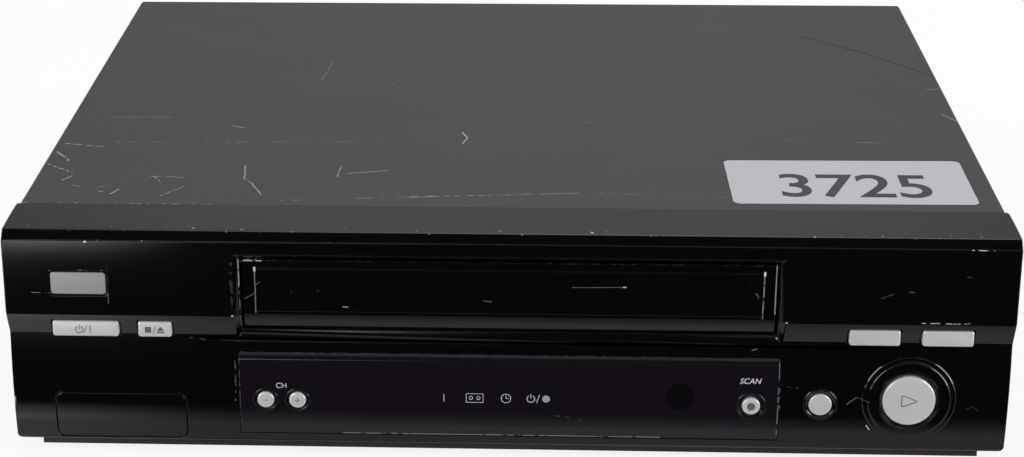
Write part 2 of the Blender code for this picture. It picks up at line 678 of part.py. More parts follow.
def make_front_panel():
    half = WIDTH / 2
    panel = piece(
        "front_panel",
        prism(panel_outline(0, SEAM_Y), "X", -half - OVERRUN, half + OVERRUN),
        BLACK_GLOSS,
        (0, SEAM_Y, 0),
    )
    corner = half - PANEL_CORNER
    round_left = arc(-corner, FRONT_Y + PANEL_CORNER, PANEL_CORNER, math.pi, 3 * math.pi / 2, CORNER_STEPS)
    round_right = arc(corner, FRONT_Y + PANEL_CORNER, PANEL_CORNER, -math.pi / 2, 0, CORNER_STEPS)
    back = SEAM_Y + OVERRUN
    plan = round_left + round_right + [(half, back), (-half, back)]
    combine(panel, "INTERSECT", [prism(plan, "Z", -OVERRUN, HEIGHT + OVERRUN)])
    inner = half - PANEL_WALL
    cut(panel, prism(panel_outline(PANEL_WALL, back), "X", -inner, inner))

    ears = []
    ear_y = FRONT_Y + PANEL_WALL
    for edge, side in ((SLOT_LEFT, -1), (SLOT_RIGHT, 1)):
        near, far = sorted((edge + side * FIT, edge + side * (FIT + EAR_LENGTH)))
        low = (near, ear_y - BLEND, DOOR_HINGE_Z - EAR_HALF_HEIGHT)
        ears.append(block(low, (far, ear_y + EAR_DEPTH, DOOR_HINGE_Z + EAR_HALF_HEIGHT)))
    join(panel, *ears)

    through = (FRONT_Y - OVERRUN, lower_y(BAND_FOOT_Z, PANEL_WALL) + OVERRUN)
    cuts = [
        reveal(),
        prism(rectangle(SLOT_LEFT, SLOT_RIGHT, SLOT_FOOT_Z, SLOT_TOP_Z), "Y", *through),
    ]
    pin_reach = DOOR_PIN_LENGTH - DOOR_SIDE_GAP + RUNNING_GAP
    bore = DOOR_PIN_RADIUS + RUNNING_GAP
    pin_ends = (SLOT_LEFT - pin_reach, SLOT_RIGHT + pin_reach)
    cuts.append(cylinder("X", DOOR_HINGE_Y, DOOR_HINGE_Z, bore, *pin_ends, SMALL_SIDES))
    half_window = WINDOW_WIDTH / 2
    seat = lower_strip(WINDOW_FOOT_Z - FIT, WINDOW_TOP_Z + FIT, -OVERRUN, WINDOW_SHEET + FIT)
    cuts.append(prism(seat, "X", BAY_X - half_window - FIT, BAY_X + half_window + FIT))
    opening = rectangle(
        BAY_X - half_window + WINDOW_LEDGE,
        BAY_X + half_window - WINDOW_LEDGE,
        WINDOW_FOOT_Z + WINDOW_LEDGE,
        WINDOW_TOP_Z - WINDOW_LEDGE,
    )
    cuts.append(prism(opening, "Y", *through))
    left, right = FLAP_LEFT - FLAP_GAP, FLAP_RIGHT + FLAP_GAP
    flap_hole = rounded(left, right, FLAP_FOOT_Z - FLAP_GAP, FLAP_TOP_Z + FLAP_GAP, FLAP_CORNER + FLAP_GAP)
    cuts.append(prism(flap_hole, "Y", *through))
    pin_z = FLAP_FOOT_Z + FLAP_PIN_RISE
    pin_y = lower_y(pin_z) + FLAP_PIN_DEPTH
    pin_bore = FLAP_PIN_RADIUS + RUNNING_GAP / 2
    reach = FLAP_PIN_LENGTH + FIT
    cuts.append(cylinder("X", pin_y, pin_z, pin_bore, FLAP_LEFT - reach, FLAP_RIGHT + reach, SMALL_SIDES))
    for x, width in KEYS.values():
        cuts.append(prism(key_outline(x, width, KEY_GAP), "Y", *through))
    badge = badge_outline(FIT)
    cuts.append(prism(badge, "Y", FRONT_Y - OVERRUN, FRONT_Y + BADGE_SINK + FIT))
    for x, z, radius in ((PLAY_X, PLAY_Z, PLAY_RADIUS), (RECORD_X, RECORD_Z, RECORD_RADIUS)):
        cuts.append(cylinder("Y", x, z, radius + BUTTON_GAP, *through))
    face = lower_y(PLAY_Z)
    rim = DISH_RADIUS + (DISH_RADIUS - DISH_FLOOR_RADIUS) * OVERRUN / DISH_DEPTH
    bowl = [(rim, face - OVERRUN), (DISH_RADIUS, face), (DISH_FLOOR_RADIUS, face + DISH_DEPTH)]
    cuts.append(turned("Y", PLAY_X, PLAY_Z, bowl, 2 * ROUND_SIDES))
    cut(panel, *cuts)


def badge_outline(grow):
    left = -WIDTH / 2 + BADGE_FROM_SIDE
    top = RIDGE_Z - BADGE_FROM_RIDGE
    return rounded(
        left - grow,
        left + BADGE_WIDTH + grow,
        top - BADGE_HEIGHT - grow,
        top + grow,
        BADGE_CORNER,
    )


def make_badge_plate():
    back = FRONT_Y + BADGE_SINK
    piece("badge_plate", prism(badge_outline(0), "Y", back - BADGE_SHEET + FIT, back), CHROME)


def make_window():
    half = WINDOW_WIDTH / 2
    outline = lower_strip(WINDOW_FOOT_Z, WINDOW_TOP_Z, -WINDOW_PROUD, WINDOW_SHEET)
    window = piece(
        "display_window",
        prism(outline, "X", BAY_X - half, BAY_X + half),
        SMOKED,
        (BAY_X, lower_y(WINDOW_FOOT_Z), WINDOW_FOOT_Z),
    )
    reach = (FRONT_Y, lower_y(WINDOW_FOOT_Z, PANEL_WALL))
    holes = []
    for x, radius in WINDOW_BUTTONS.values():
        holes.append(cylinder("Y", x, WINDOW_BUTTON_Z, radius + BUTTON_GAP, *reach))
    cut(window, *holes)


# Moving pieces of the front
def make_door():
    left, right = SLOT_LEFT + DOOR_SIDE_GAP, SLOT_RIGHT - DOOR_SIDE_GAP
    slope = (lower_y(BAND_FOOT_Z) - FRONT_Y) / BAND_HEIGHT
    recede = (UPPER_FOOT_Z - DOOR_FOOT_Z) * slope
    outline = [
        (DOOR_Y, DOOR_TOP_Z),
        (DOOR_Y, UPPER_FOOT_Z),
        (DOOR_Y + recede, DOOR_FOOT_Z),
        (DOOR_Y + recede + DOOR_SHEET, DOOR_FOOT_Z),
        (DOOR_Y + DOOR_SHEET, UPPER_FOOT_Z),
        (DOOR_Y + DOOR_SHEET, DOOR_TOP_Z),
    ]
    axis = (BAY_X, DOOR_HINGE_Y, DOOR_HINGE_Z)
    door = piece("cassette_door", prism(outline, "X", left, right), BLACK_GLOSS, axis)
    raised = block(
        (left + DOOR_RAISED_FROM_END, DOOR_Y - DOOR_RAISED_STEP, UPPER_FOOT_Z),
        (right - DOOR_RAISED_FROM_END, DOOR_Y + DOOR_SHEET / 2, DOOR_TOP_Z - DOOR_RAISED_FROM_TOP),
    )
    pins = [
        cylinder("X", DOOR_HINGE_Y, DOOR_HINGE_Z, DOOR_PIN_RADIUS, start, end, SMALL_SIDES)
        for start, end in (
            (left - DOOR_PIN_LENGTH + FIT, left + BLEND),
            (right - BLEND, right + DOOR_PIN_LENGTH - FIT),
        )
    ]
    join(door, raised, *pins)


def make_flap():
    pin_z = FLAP_FOOT_Z + FLAP_PIN_RISE
    pin_y = lower_y(pin_z) + FLAP_PIN_DEPTH
    strip = lower_strip(FLAP_FOOT_Z - OVERRUN, FLAP_TOP_Z + OVERRUN, 0, FLAP_SHEET)
    middle = (FLAP_LEFT + FLAP_RIGHT) / 2
    flap = piece(
        "socket_flap",
        prism(strip, "X", FLAP_LEFT - OVERRUN, FLAP_RIGHT + OVERRUN),
        BLACK_GLOSS,
        (middle, pin_y, pin_z),
    )
    outline = rounded(FLAP_LEFT, FLAP_RIGHT, FLAP_FOOT_Z, FLAP_TOP_Z, FLAP_CORNER)
    back = lower_y(FLAP_FOOT_Z, FLAP_SHEET) + OVERRUN
    combine(flap, "INTERSECT", [prism(outline, "Y", FRONT_Y, back)])
    shoulder = FLAP_CORNER
    pins = [
        cylinder("X", pin_y, pin_z, FLAP_PIN_RADIUS, start, end, SMALL_SIDES)
        for start, end in (
            (FLAP_LEFT - FLAP_PIN_LENGTH, FLAP_LEFT + shoulder),
            (FLAP_RIGHT - shoulder, FLAP_RIGHT + FLAP_PIN_LENGTH),
        )
    ]
    join(flap, *pins)


def make_keys():
    """The four keys on the slanted band, each with a stem towards its switch."""
    front = FRONT_Y + KEY_FRONT
    back = front + KEY_DEPTH
    end = FRONT_BOARD_Y - KEY_TRAVEL - FIT
    middle = BAND_FOOT_Z + KEY_FOOT_RISE + KEY_HEIGHT / 2
    for name, (x, width) in KEYS.items():
        stem = rounded(
            x - KEY_STEM_HALF_WIDTH,
            x + KEY_STEM_HALF_WIDTH,
            middle - KEY_STEM_HALF_HEIGHT,
            middle + KEY_STEM_HALF_HEIGHT,
            KEY_CORNER,
        )
        stations = (
            (key_outline(x, width, -KEY_EDGE), front),
            (key_outline(x, width, 0), front + KEY_EDGE),
            (key_outline(x, width, 0), back),
            (stem, back),
            (stem, end),
        )
        rings = [[place("Y", y, *point) for point in outline] for outline, y in stations]
        piece(name, loft(rings), SILVER, (x, front, middle))


def round_button(name, x, z, radius, proud, wall):
    """A round button with a flange behind the wall it passes through."""
    front = lower_y(z) - proud
    flange = lower_y(z, wall) + FIT
    half = radius + BUTTON_FLANGE
    flange += lower_y(z - half) - lower_y(z) if z < CREST_Z else 0
    end = FRONT_BOARD_Y - KEY_TRAVEL - FIT
    profile = [
        (radius - BUTTON_EDGE, front),
        (radius, front + BUTTON_EDGE),
        (radius, flange),
        (half, flange),
        (half, flange + BUTTON_FLANGE_SHEET),
        (BUTTON_STEM_RADIUS, flange + BUTTON_FLANGE_SHEET),
        (BUTTON_STEM_RADIUS, end),
    ]
    piece(name, turned("Y", x, z, profile), SILVER, (x, front, z))


def make_round_buttons():
    round_button("play_button", PLAY_X, PLAY_Z, PLAY_RADIUS, PLAY_PROUD, PANEL_WALL)
    round_button("record_button", RECORD_X, RECORD_Z, RECORD_RADIUS, RECORD_PROUD, PANEL_WALL)
    for name, (x, radius) in WINDOW_BUTTONS.items():
        round_button(name, x, WINDOW_BUTTON_Z, radius, WINDOW_BUTTON_PROUD, WINDOW_SHEET)


# Case
def make_top_cover():
    z = PANEL_FOOT_Z
    bend = COVER_BEND
    inner_bend = bend - COVER_SHEET
    start = SEAM_Y + FIT
    a, b = COVER_HALF - bend, HEIGHT - bend
    quarter = math.pi / 2
    inner = COVER_HALF - COVER_SHEET
    outline = (
        [(COVER_HALF, z)]
        + arc(a, b, bend, 0, quarter, CORNER_STEPS)
        + arc(-a, b, bend, quarter, 2 * quarter, CORNER_STEPS)
        + [(-COVER_HALF, z), (-inner, z)]
        + arc(-a, b, inner_bend, 2 * quarter, quarter, CORNER_STEPS)
        + arc(a, b, inner_bend, quarter, 0, CORNER_STEPS)
        + [(inner, z)]
    )
    cover = piece("top_cover", prism(outline, "Y", start, REAR_Y), COVER_PAINT, (0, 0, HEIGHT))
    holes = []
    reach = COVER_HALF + OVERRUN
    for number in range(VENT_COUNT):
        y = REAR_Y - VENT_FROM_REAR - number * VENT_PITCH
        top = HEIGHT - VENT_FROM_TOP
        half = VENT_WIDTH / 2
        slot = rectangle(y - half, y + half, top - VENT_HEIGHT, top)
        holes.append(prism(slot, "X", inner - OVERRUN, reach))
        holes.append(prism(slot, "X", -reach, OVERRUN - inner))
    y, z = side_screw_place()
    for side in (-1, 1):
        ends = sorted((side * (inner - OVERRUN), side * reach))
        holes.append(cylinder("X", y, z, SCREW_SHANK_RADIUS + RUNNING_GAP, *ends, SMALL_SIDES))
    cut(cover, *holes)


def side_screw_place():
    return REAR_Y - SIDE_SCREW_FROM_REAR, PANEL_FOOT_Z + SIDE_SCREW_RISE


def base_half_outline():
    """Right half of the base's section, from the middle of its underside round to its top."""
    ledge = BASE_Z + RAIL_LEDGE_RISE
    top = PANEL_FOOT_Z + RAIL_HEIGHT
    return [
        (BASE_HALF, BASE_Z),
        (BASE_HALF, ledge),
        (RAIL_HALF, ledge),
        (RAIL_HALF, top),
        (RAIL_HALF - RAIL_SHEET, top),
        (RAIL_HALF - RAIL_SHEET, ledge + RAIL_SHEET),
        (BASE_HALF - RAIL_SHEET, ledge + RAIL_SHEET),
        (BASE_HALF - RAIL_SHEET, FLOOR_Z),
    ]


def board_post_places():
    """Corners of the main board and of the power board, inside their posts' inset."""
    main, power = main_board_box(), power_board_box()
    places = []
    for x0, x1, y0, y1 in (main, power):
        for x in (x0 + BOARD_POST_INSET, x1 - BOARD_POST_INSET):
            for y in (y0 + BOARD_POST_INSET, y1 - BOARD_POST_INSET):
                places.append((x, y))
    return places


def board_split():
    """The main board's left edge, just beside the deck's."""
    return BAY_X - DECK_HALF - BOARD_BESIDE_DECK


def main_board_box():
    right = WIDTH / 2 - BASE_FROM_SIDE - MAIN_BOARD_FROM_SIDE
    return board_split(), right, FRONT_Y + MAIN_BOARD_FROM_FRONT, REAR_PANEL_Y - MAIN_BOARD_FROM_REAR


def power_board_box():
    left = -WIDTH / 2 + BASE_FROM_SIDE + MAIN_BOARD_FROM_SIDE
    right = board_split() - BOARD_SPLIT_GAP
    return left, right, FRONT_Y + POWER_BOARD_FROM_FRONT, REAR_PANEL_Y - MAIN_BOARD_FROM_REAR


def make_base():
    half = base_half_outline()
    outline = half + [(-x, z) for x, z in reversed(half)]
    start, end = SEAM_Y + FIT, REAR_PANEL_Y - FIT
    base = piece("base_chassis", prism(outline, "Y", start, end), BLACK_MATTE, (0, 0, BASE_Z))
    nose = block((-BASE_HALF, FRONT_Y + BASE_FROM_FRONT, BASE_Z), (BASE_HALF, start + BLEND, FLOOR_Z))
    root = FLOOR_Z - BLEND
    posts = [nose]
    for x, y in board_post_places():
        posts.append(cylinder("Z", x, y, POST_RADIUS, root, BOARD_Z - FIT, SMALL_SIDES))
    for x, y in deck_post_places():
        posts.append(cylinder("Z", x, y, DECK_POST_RADIUS, root, DECK_Z - FIT, SMALL_SIDES))
    join(base, *posts)
    y, z = side_screw_place()
    holes = []
    for side in (-1, 1):
        ends = sorted((side * (RAIL_HALF - RAIL_SHEET - OVERRUN), side * (RAIL_HALF + OVERRUN)))
        holes.append(cylinder("X", y, z, SCREW_SHANK_RADIUS + RUNNING_GAP, *ends, SMALL_SIDES))
    cut(base, *holes)


def make_feet():
    for end, y in (("front", FRONT_Y + FOOT_FROM_FRONT), ("rear", REAR_Y - FOOT_FROM_REAR)):
        for hand, side in (("left", -1), ("right", 1)):
            x = side * (WIDTH / 2 - FOOT_FROM_SIDE)
            top = BASE_Z - FIT
            profile = [
                (FOOT_RADIUS - FOOT_EDGE, 0),
                (FOOT_RADIUS, FOOT_EDGE),
                (FOOT_RADIUS, top),
            ]
            piece(f"foot_{end}_{hand}", turned("Z", x, y, profile), RUBBER, (x, y, 0))


def rear_holes():
    """The holes in the rear panel, with their clearance."""
    holes = []
    for x, z in scart_places():
        half_w, half_h = SCART_WIDTH / 2 + FIT, SCART_HEIGHT / 2 + FIT
        holes.append(rounded(x - half_w, x + half_w, z - half_h, z + half_h, SCART_CORNER))
    for x, z in aerial_places():
        holes.append(circle(x, z, AERIAL_RADIUS + FIT))
    for x, z in audio_places():
        holes.append(circle(x, z, JACK_RADIUS + FIT))
    holes.append(circle(GLAND_X, GLAND_Z, GLAND_RADIUS + FIT))
    for x, z in rear_screw_places():
        holes.append(circle(x, z, SCREW_SHANK_RADIUS + RUNNING_GAP, SMALL_SIDES))
    return holes


def rear_screw_places():
    x = RAIL_HALF - RAIL_SHEET / 2 - SCREW_HEAD_RADIUS
    z = BASE_Z + RAIL_LEDGE_RISE + RAIL_SHEET + SCREW_HEAD_RADIUS + BLEND
    return [(-x, z), (x, z)]


def make_rear_panel():
    top = HEIGHT - COVER_SHEET - FIT
    outline = rounded(-RAIL_HALF, RAIL_HALF, BASE_Z + FIT, top, COVER_BEND)
    rear = piece(
        "rear_panel",
        prism(outline, "Y", REAR_PANEL_Y, REAR_PANEL_Y + REAR_SHEET),
        ZINC,
        (0, REAR_PANEL_Y, BASE_Z),
    )
    ends = (REAR_PANEL_Y - OVERRUN, REAR_PANEL_Y + REAR_SHEET + OVERRUN)
    cut(rear, *[prism(hole, "Y", *ends) for hole in rear_holes()])


def screw(name, axis, a, b, seat, way):
    """A screw whose head lies on a seat, with its shank going in, against way."""
    near = seat + way * FIT
    stations = [
        (SCREW_RECESS_RADIUS, near + way * (SCREW_HEAD_HEIGHT - SCREW_RECESS_DEPTH)),
        (SCREW_RECESS_RADIUS, near + way * SCREW_HEAD_HEIGHT),
        (SCREW_HEAD_RADIUS - SCREW_RECESS_DEPTH, near + way * SCREW_HEAD_HEIGHT),
        (SCREW_HEAD_RADIUS, near + way * (SCREW_HEAD_HEIGHT - SCREW_RECESS_DEPTH)),
        (SCREW_HEAD_RADIUS, near),
        (SCREW_SHANK_RADIUS, near),
        (SCREW_SHANK_RADIUS, near - way * SCREW_LENGTH),
    ]
    piece(name, turned(axis, a, b, stations, SMALL_SIDES), ZINC, place(axis, near, a, b))


def make_screws():
    y, z = side_screw_place()
    screw("cover_screw_left", "X", y, z, -COVER_HALF, -1)
    screw("cover_screw_right", "X", y, z, COVER_HALF, 1)
    (left, z), (right, _) = rear_screw_places()
    screw("rear_screw_left", "Y", left, z, REAR_PANEL_Y + REAR_SHEET, 1)
    screw("rear_screw_right", "Y", right, z, REAR_PANEL_Y + REAR_SHEET, 1)


# Circuit boards and what stands on them
def make_main_board():
    x0, x1, y0, y1 = main_board_box()
    board = piece("main_board", block((x0, y0, BOARD_Z), (x1, y1, BOARD_TOP_Z)), CIRCUIT, (0, 0, BOARD_Z))
    ends = (BOARD_Z - OVERRUN, BOARD_TOP_Z + OVERRUN)
    radius = DECK_POST_RADIUS + POST_CLEARANCE
    cut(board, *[cylinder("Z", x, y, radius, *ends, SMALL_SIDES) for x, y in deck_post_places()])


def make_power_supply():
    x0, x1, y0, y1 = power_board_box()
    piece("power_board", block((x0, y0, BOARD_Z), (x1, y1, BOARD_TOP_Z)), CIRCUIT, (x0, y0, BOARD_Z))
    x = (x0 + x1) / 2
    y = y1 - TRANSFORMER_FROM_REAR
    low = BOARD_TOP_Z + FIT
    half_w, half_d = (x1 - x0) * TRANSFORMER_WIDTH_SHARE / 2, TRANSFORMER_DEPTH / 2
    core = block((x - half_w, y - half_d, low), (x + half_w, y + half_d, low + TRANSFORMER_HEIGHT))
    transformer = piece("power_transformer", core, CORE_STEEL, (x, y, low))
    wide = half_w + TRANSFORMER_FLANGE
    deep = half_d - TRANSFORMER_FLANGE
    top = low + TRANSFORMER_HEIGHT
    mid_low, mid_high = low + TRANSFORMER_FLANGE_HEIGHT, top - TRANSFORMER_FLANGE_HEIGHT
    join(transformer, block((x - wide, y - deep, mid_low), (x + wide, y + deep, mid_high)))
    can_y = y - CAPACITOR_AHEAD
    profile = [
        (CAPACITOR_RADIUS, low),
        (CAPACITOR_RADIUS, low + CAPACITOR_HEIGHT - CAPACITOR_EDGE),
        (CAPACITOR_RADIUS - CAPACITOR_EDGE, low + CAPACITOR_HEIGHT),
    ]
    piece("smoothing_capacitor", turned("Z", x, can_y, profile), SLEEVE, (x, can_y, low))


def make_front_board():
    """The upright board behind the front, cut away under the cassette opening."""
    half = WIDTH / 2 - FRONT_BOARD_FROM_SIDE
    foot = PANEL_FOOT_Z + PANEL_WALL + FIT
    wing = BAND_FOOT_Z + FRONT_BOARD_ABOVE_BAND
    sill = SLOT_FOOT_Z - FRONT_BOARD_SILL_GAP
    left, right = SLOT_LEFT - DOOR_SIDE_GAP, SLOT_RIGHT + DOOR_SIDE_GAP
    outline = [
        (-half, foot),
        (half, foot),
        (half, wing),
        (right, wing),
        (right, sill),
        (left, sill),
        (left, wing),
        (-half, wing),
    ]
    ends = (FRONT_BOARD_Y, FRONT_BOARD_Y + BOARD_SHEET)
    piece("front_board", prism(outline, "Y", *ends), CIRCUIT, (0, FRONT_BOARD_Y, foot))
    front = FRONT_BOARD_Y - FIT
    nose = front - IR_HEIGHT
    profile = [(IR_RADIUS - FOOT_EDGE, nose), (IR_RADIUS, nose + FOOT_EDGE), (IR_RADIUS, front)]
    piece("remote_receiver", turned("Y", IR_X, IR_Z, profile, SMALL_SIDES), BLACK_MATTE, (IR_X, front, IR_Z))


def make_front_jacks():
    """The tray behind the flap, with three phono sockets standing in it."""
    front = lower_y(FLAP_FOOT_Z - TRAY_MARGIN, PANEL_WALL) + TRAY_SETBACK
    back = FRONT_BOARD_Y - FIT
    left, right = FLAP_LEFT - TRAY_MARGIN, FLAP_RIGHT + TRAY_MARGIN
    foot = PANEL_FOOT_Z + PANEL_WALL + FIT
    top = FLAP_TOP_Z + TRAY_MARGIN
    middle = (FLAP_FOOT_Z + FLAP_TOP_Z) / 2
    centre = (left + right) / 2
    body = block((left, front, foot), (right, back, top))
    tray = piece("front_socket_tray", body, BLACK_MATTE, (centre, back, middle))
    floor = back - TRAY_WALL
    cut(
        tray,
        block(
            (left + TRAY_WALL, front - OVERRUN, foot + TRAY_WALL),
            (right - TRAY_WALL, floor, top - TRAY_WALL),
        ),
    )
    tip = lower_y(middle, FLAP_SHEET) + JACK_TIP_GAP + FLAP_CLEARANCE
    barrels, bores = [], []
    for number in (-1, 0, 1):
        x = centre + number * JACK_PITCH
        barrels.append(cylinder("Y", x, middle, JACK_RADIUS, tip, floor + BLEND))
        bores.append(cylinder("Y", x, middle, JACK_BORE_RADIUS, tip - OVERRUN, floor, SMALL_SIDES))
    join(tray, *barrels)
    cut(tray, *bores)


# Rear sockets
def scart_places():
    z = BOARD_TOP_Z + FIT + SCART_HEIGHT / 2
    return [(SCART_FIRST_X, z), (SCART_FIRST_X - SCART_PITCH, z)]


def aerial_places():
    top = BOARD_TOP_Z + FIT + TUNER_HEIGHT - AERIAL_FROM_TOP
    return [(TUNER_X, top), (TUNER_X, top - AERIAL_PITCH)]


def audio_places():
    z = BOARD_TOP_Z + FIT + AUDIO_HEIGHT / 2
    half = REAR_JACK_PITCH / 2
    return [(AUDIO_X - half, z), (AUDIO_X + half, z)]


def make_rear_sockets():
    mouth = REAR_PANEL_Y + REAR_SHEET + SOCKET_REACH
    for number, (x, z) in enumerate(scart_places(), 1):
        half_w, half_h = SCART_WIDTH / 2, SCART_HEIGHT / 2
        outer = rounded(x - half_w, x + half_w, z - half_h, z + half_h, SCART_CORNER)
        body = prism(outer, "Y", mouth - SCART_DEPTH, mouth)
        socket = piece(f"scart_socket_{number}", body, BLACK_MATTE, (x, mouth, z))
        inner_w, inner_h = half_w - SCART_WALL, half_h - SCART_WALL
        pocket = rectangle(x - inner_w, x + inner_w, z - inner_h, z + inner_h)
        cut(socket, prism(pocket, "Y", mouth - SCART_POCKET_DEPTH, mouth + OVERRUN))

    back = REAR_PANEL_Y - FIT
    low = BOARD_TOP_Z + FIT
    half = TUNER_WIDTH / 2
    case = block((TUNER_X - half, back - TUNER_DEPTH, low), (TUNER_X + half, back, low + TUNER_HEIGHT))
    tuner = piece("tuner_module", case, ZINC, (TUNER_X, back, low))
    end = REAR_Y - AERIAL_END_GAP
    join(tuner, *[cylinder("Y", x, z, AERIAL_RADIUS, back - BLEND, end) for x, z in aerial_places()])
    cut(tuner, *[cylinder("Y", x, z, AERIAL_BORE_RADIUS, back, end + OVERRUN) for x, z in aerial_places()])

    half = AUDIO_WIDTH / 2
    body = block((AUDIO_X - half, back - AUDIO_DEPTH, low), (AUDIO_X + half, back, low + AUDIO_HEIGHT))
    audio = piece("audio_socket_block", body, BLACK_MATTE, (AUDIO_X, back, low))
    for x, z in audio_places():
        join(audio, cylinder("Y", x, z, JACK_RADIUS, back - BLEND, end))
        cut(audio, cylinder("Y", x, z, JACK_BORE_RADIUS, back, end + OVERRUN, SMALL_SIDES))


def make_cord_gland():
    """The bush of the mains lead, with a flat bore for a two-core cord."""
    inside = REAR_PANEL_Y - FIT - GLAND_FLANGE_SHEET
    outside = REAR_PANEL_Y + REAR_SHEET + FIT
    wide = GLAND_RADIUS + GLAND_FLANGE
    profile = [
        (wide, inside),
        (wide, inside + GLAND_FLANGE_SHEET),
        (GLAND_RADIUS, inside + GLAND_FLANGE_SHEET),
        (GLAND_RADIUS, outside),
        (wide, outside),
        (wide, outside + GLAND_FLANGE_SHEET),
    ]
    gland = piece("cord_gland", turned("Y", GLAND_X, GLAND_Z, profile), RUBBER, (GLAND_X, outside, GLAND_Z))
    half_w, half_h = GLAND_SLOT_WIDTH / 2, GLAND_SLOT_HEIGHT / 2
    slot = rectangle(GLAND_X - half_w, GLAND_X + half_w, GLAND_Z - half_h, GLAND_Z + half_h)
    cut(gland, prism(slot, "Y", inside - OVERRUN, outside + GLAND_FLANGE_SHEET + OVERRUN))


# Cassette loader
def door_reach():
    """How far the door's foot swings from its hinge."""
    slope = (lower_y(BAND_FOOT_Z) - FRONT_Y) / BAND_HEIGHT
    back = (UPPER_FOOT_Z - DOOR_FOOT_Z) * slope + DOOR_SHEET / 2
    return math.hypot(DOOR_HINGE_Z - DOOR_FOOT_Z, back)


HOLDER_Y = DOOR_HINGE_Y + door_reach() + HOLDER_FROM_DOOR
HOLDER_INNER = CASSETTE_WIDTH / 2 + CASSETTE_SIDE_GAP
HOLDER_OUTER = HOLDER_INNER + HOLDER_SHEET
HOLDER_FOOT_Z = CASSETTE_Z - HOLDER_SHEET
HOLDER_TOP_Z = CASSETTE_Z + CASSETTE_HEIGHT + CASSETTE_TOP_GAP + HOLDER_SHEET
HOLDER_PIN_Z = CASSETTE_Z + HOLDER_PIN_RISE
SLIDER_INNER = HOLDER_OUTER + PLATE_GAP
SLIDER_OUTER = SLIDER_INNER + SLIDER_SHEET
SLIDER_PIN_Z = HOLDER_PIN_Z + SLIDER_PIN_RISE
BRACKET_INNER = SLIDER_OUTER + PLATE_GAP
BRACKET_OUTER = BRACKET_INNER + BRACKET_SHEET
LOADED_REAR_Y = HOLDER_Y + HOLDER_DEPTH - HOLDER_SHEET + HOLDER_TRAVEL
DECK_HALF = BRACKET_OUTER + BRACKET_FLANGE + DECK_MARGIN
DECK_FRONT_Y = HOLDER_Y - DECK_AHEAD
DRUM_Y = LOADED_REAR_Y + DRUM_BEHIND
DECK_REAR_Y = DRUM_Y + DECK_BEHIND_DRUM
PIN_YS = (HOLDER_Y + FRONT_PIN_SETBACK, HOLDER_Y + FRONT_PIN_SETBACK + PIN_SPACING)


def deck_post_places():
    x = DECK_HALF - DECK_POST_INSET
    ys = (DECK_FRONT_Y + DECK_POST_INSET, DECK_REAR_Y - DECK_POST_INSET)
    return [(BAY_X + side * x, y) for side in (-1, 1) for y in ys]


def side_pins(inner, outer, z):
    """Guide pins that stand out of both sides of the holder or the slider."""
    pins = []
    for side in (-1, 1):
        ends = sorted((BAY_X + side * inner, BAY_X + side * outer))
        pins += [cylinder("X", y, z, GUIDE_PIN_RADIUS, *ends, SMALL_SIDES) for y in PIN_YS]
    return pins


def make_holder():
    lip = HOLDER_OUTER - HOLDER_LIP
    low, top = HOLDER_FOOT_Z, HOLDER_TOP_Z
    half = [
        (lip, low),
        (HOLDER_OUTER, low),
        (HOLDER_OUTER, top),
    ]
    inside = [
        (HOLDER_INNER, top - HOLDER_SHEET),
        (HOLDER_INNER, low + HOLDER_SHEET),
        (lip, low + HOLDER_SHEET),
    ]
    outline = [(BAY_X + x, z) for x, z in half]
    outline += [(BAY_X - x, z) for x, z in reversed(half)]
    outline += [(BAY_X - x, z) for x, z in reversed(inside)]
    outline += [(BAY_X + x, z) for x, z in inside]
    rear = HOLDER_Y + HOLDER_DEPTH
    shell = prism(outline, "Y", HOLDER_Y, rear)
    holder = piece("cassette_holder", shell, ZINC, (BAY_X, HOLDER_Y, CASSETTE_Z))
    ceiling = top - HOLDER_SHEET
    stop = block(
        (BAY_X - HOLDER_OUTER + BLEND, rear - HOLDER_SHEET, ceiling - HOLDER_STOP),
        (BAY_X + HOLDER_OUTER - BLEND, rear, ceiling + HOLDER_SHEET / 2),
    )
    reach = SLIDER_OUTER + PIN_OUTREACH - PLATE_GAP
    join(holder, stop, *side_pins(HOLDER_OUTER - BLEND, reach, HOLDER_PIN_Z))
    windows = []
    for side in (-1, 1):
        near = BAY_X + side * HOLDER_WINDOW_MARGIN
        x0, x1 = sorted((near, near + side * HOLDER_WINDOW_WIDTH))
        low_corner = (x0, HOLDER_Y + HOLDER_WINDOW_MARGIN, ceiling - BLEND)
        windows.append(block(low_corner, (x1, rear - HOLDER_WINDOW_MARGIN, top + OVERRUN)))
    cut(holder, *windows)


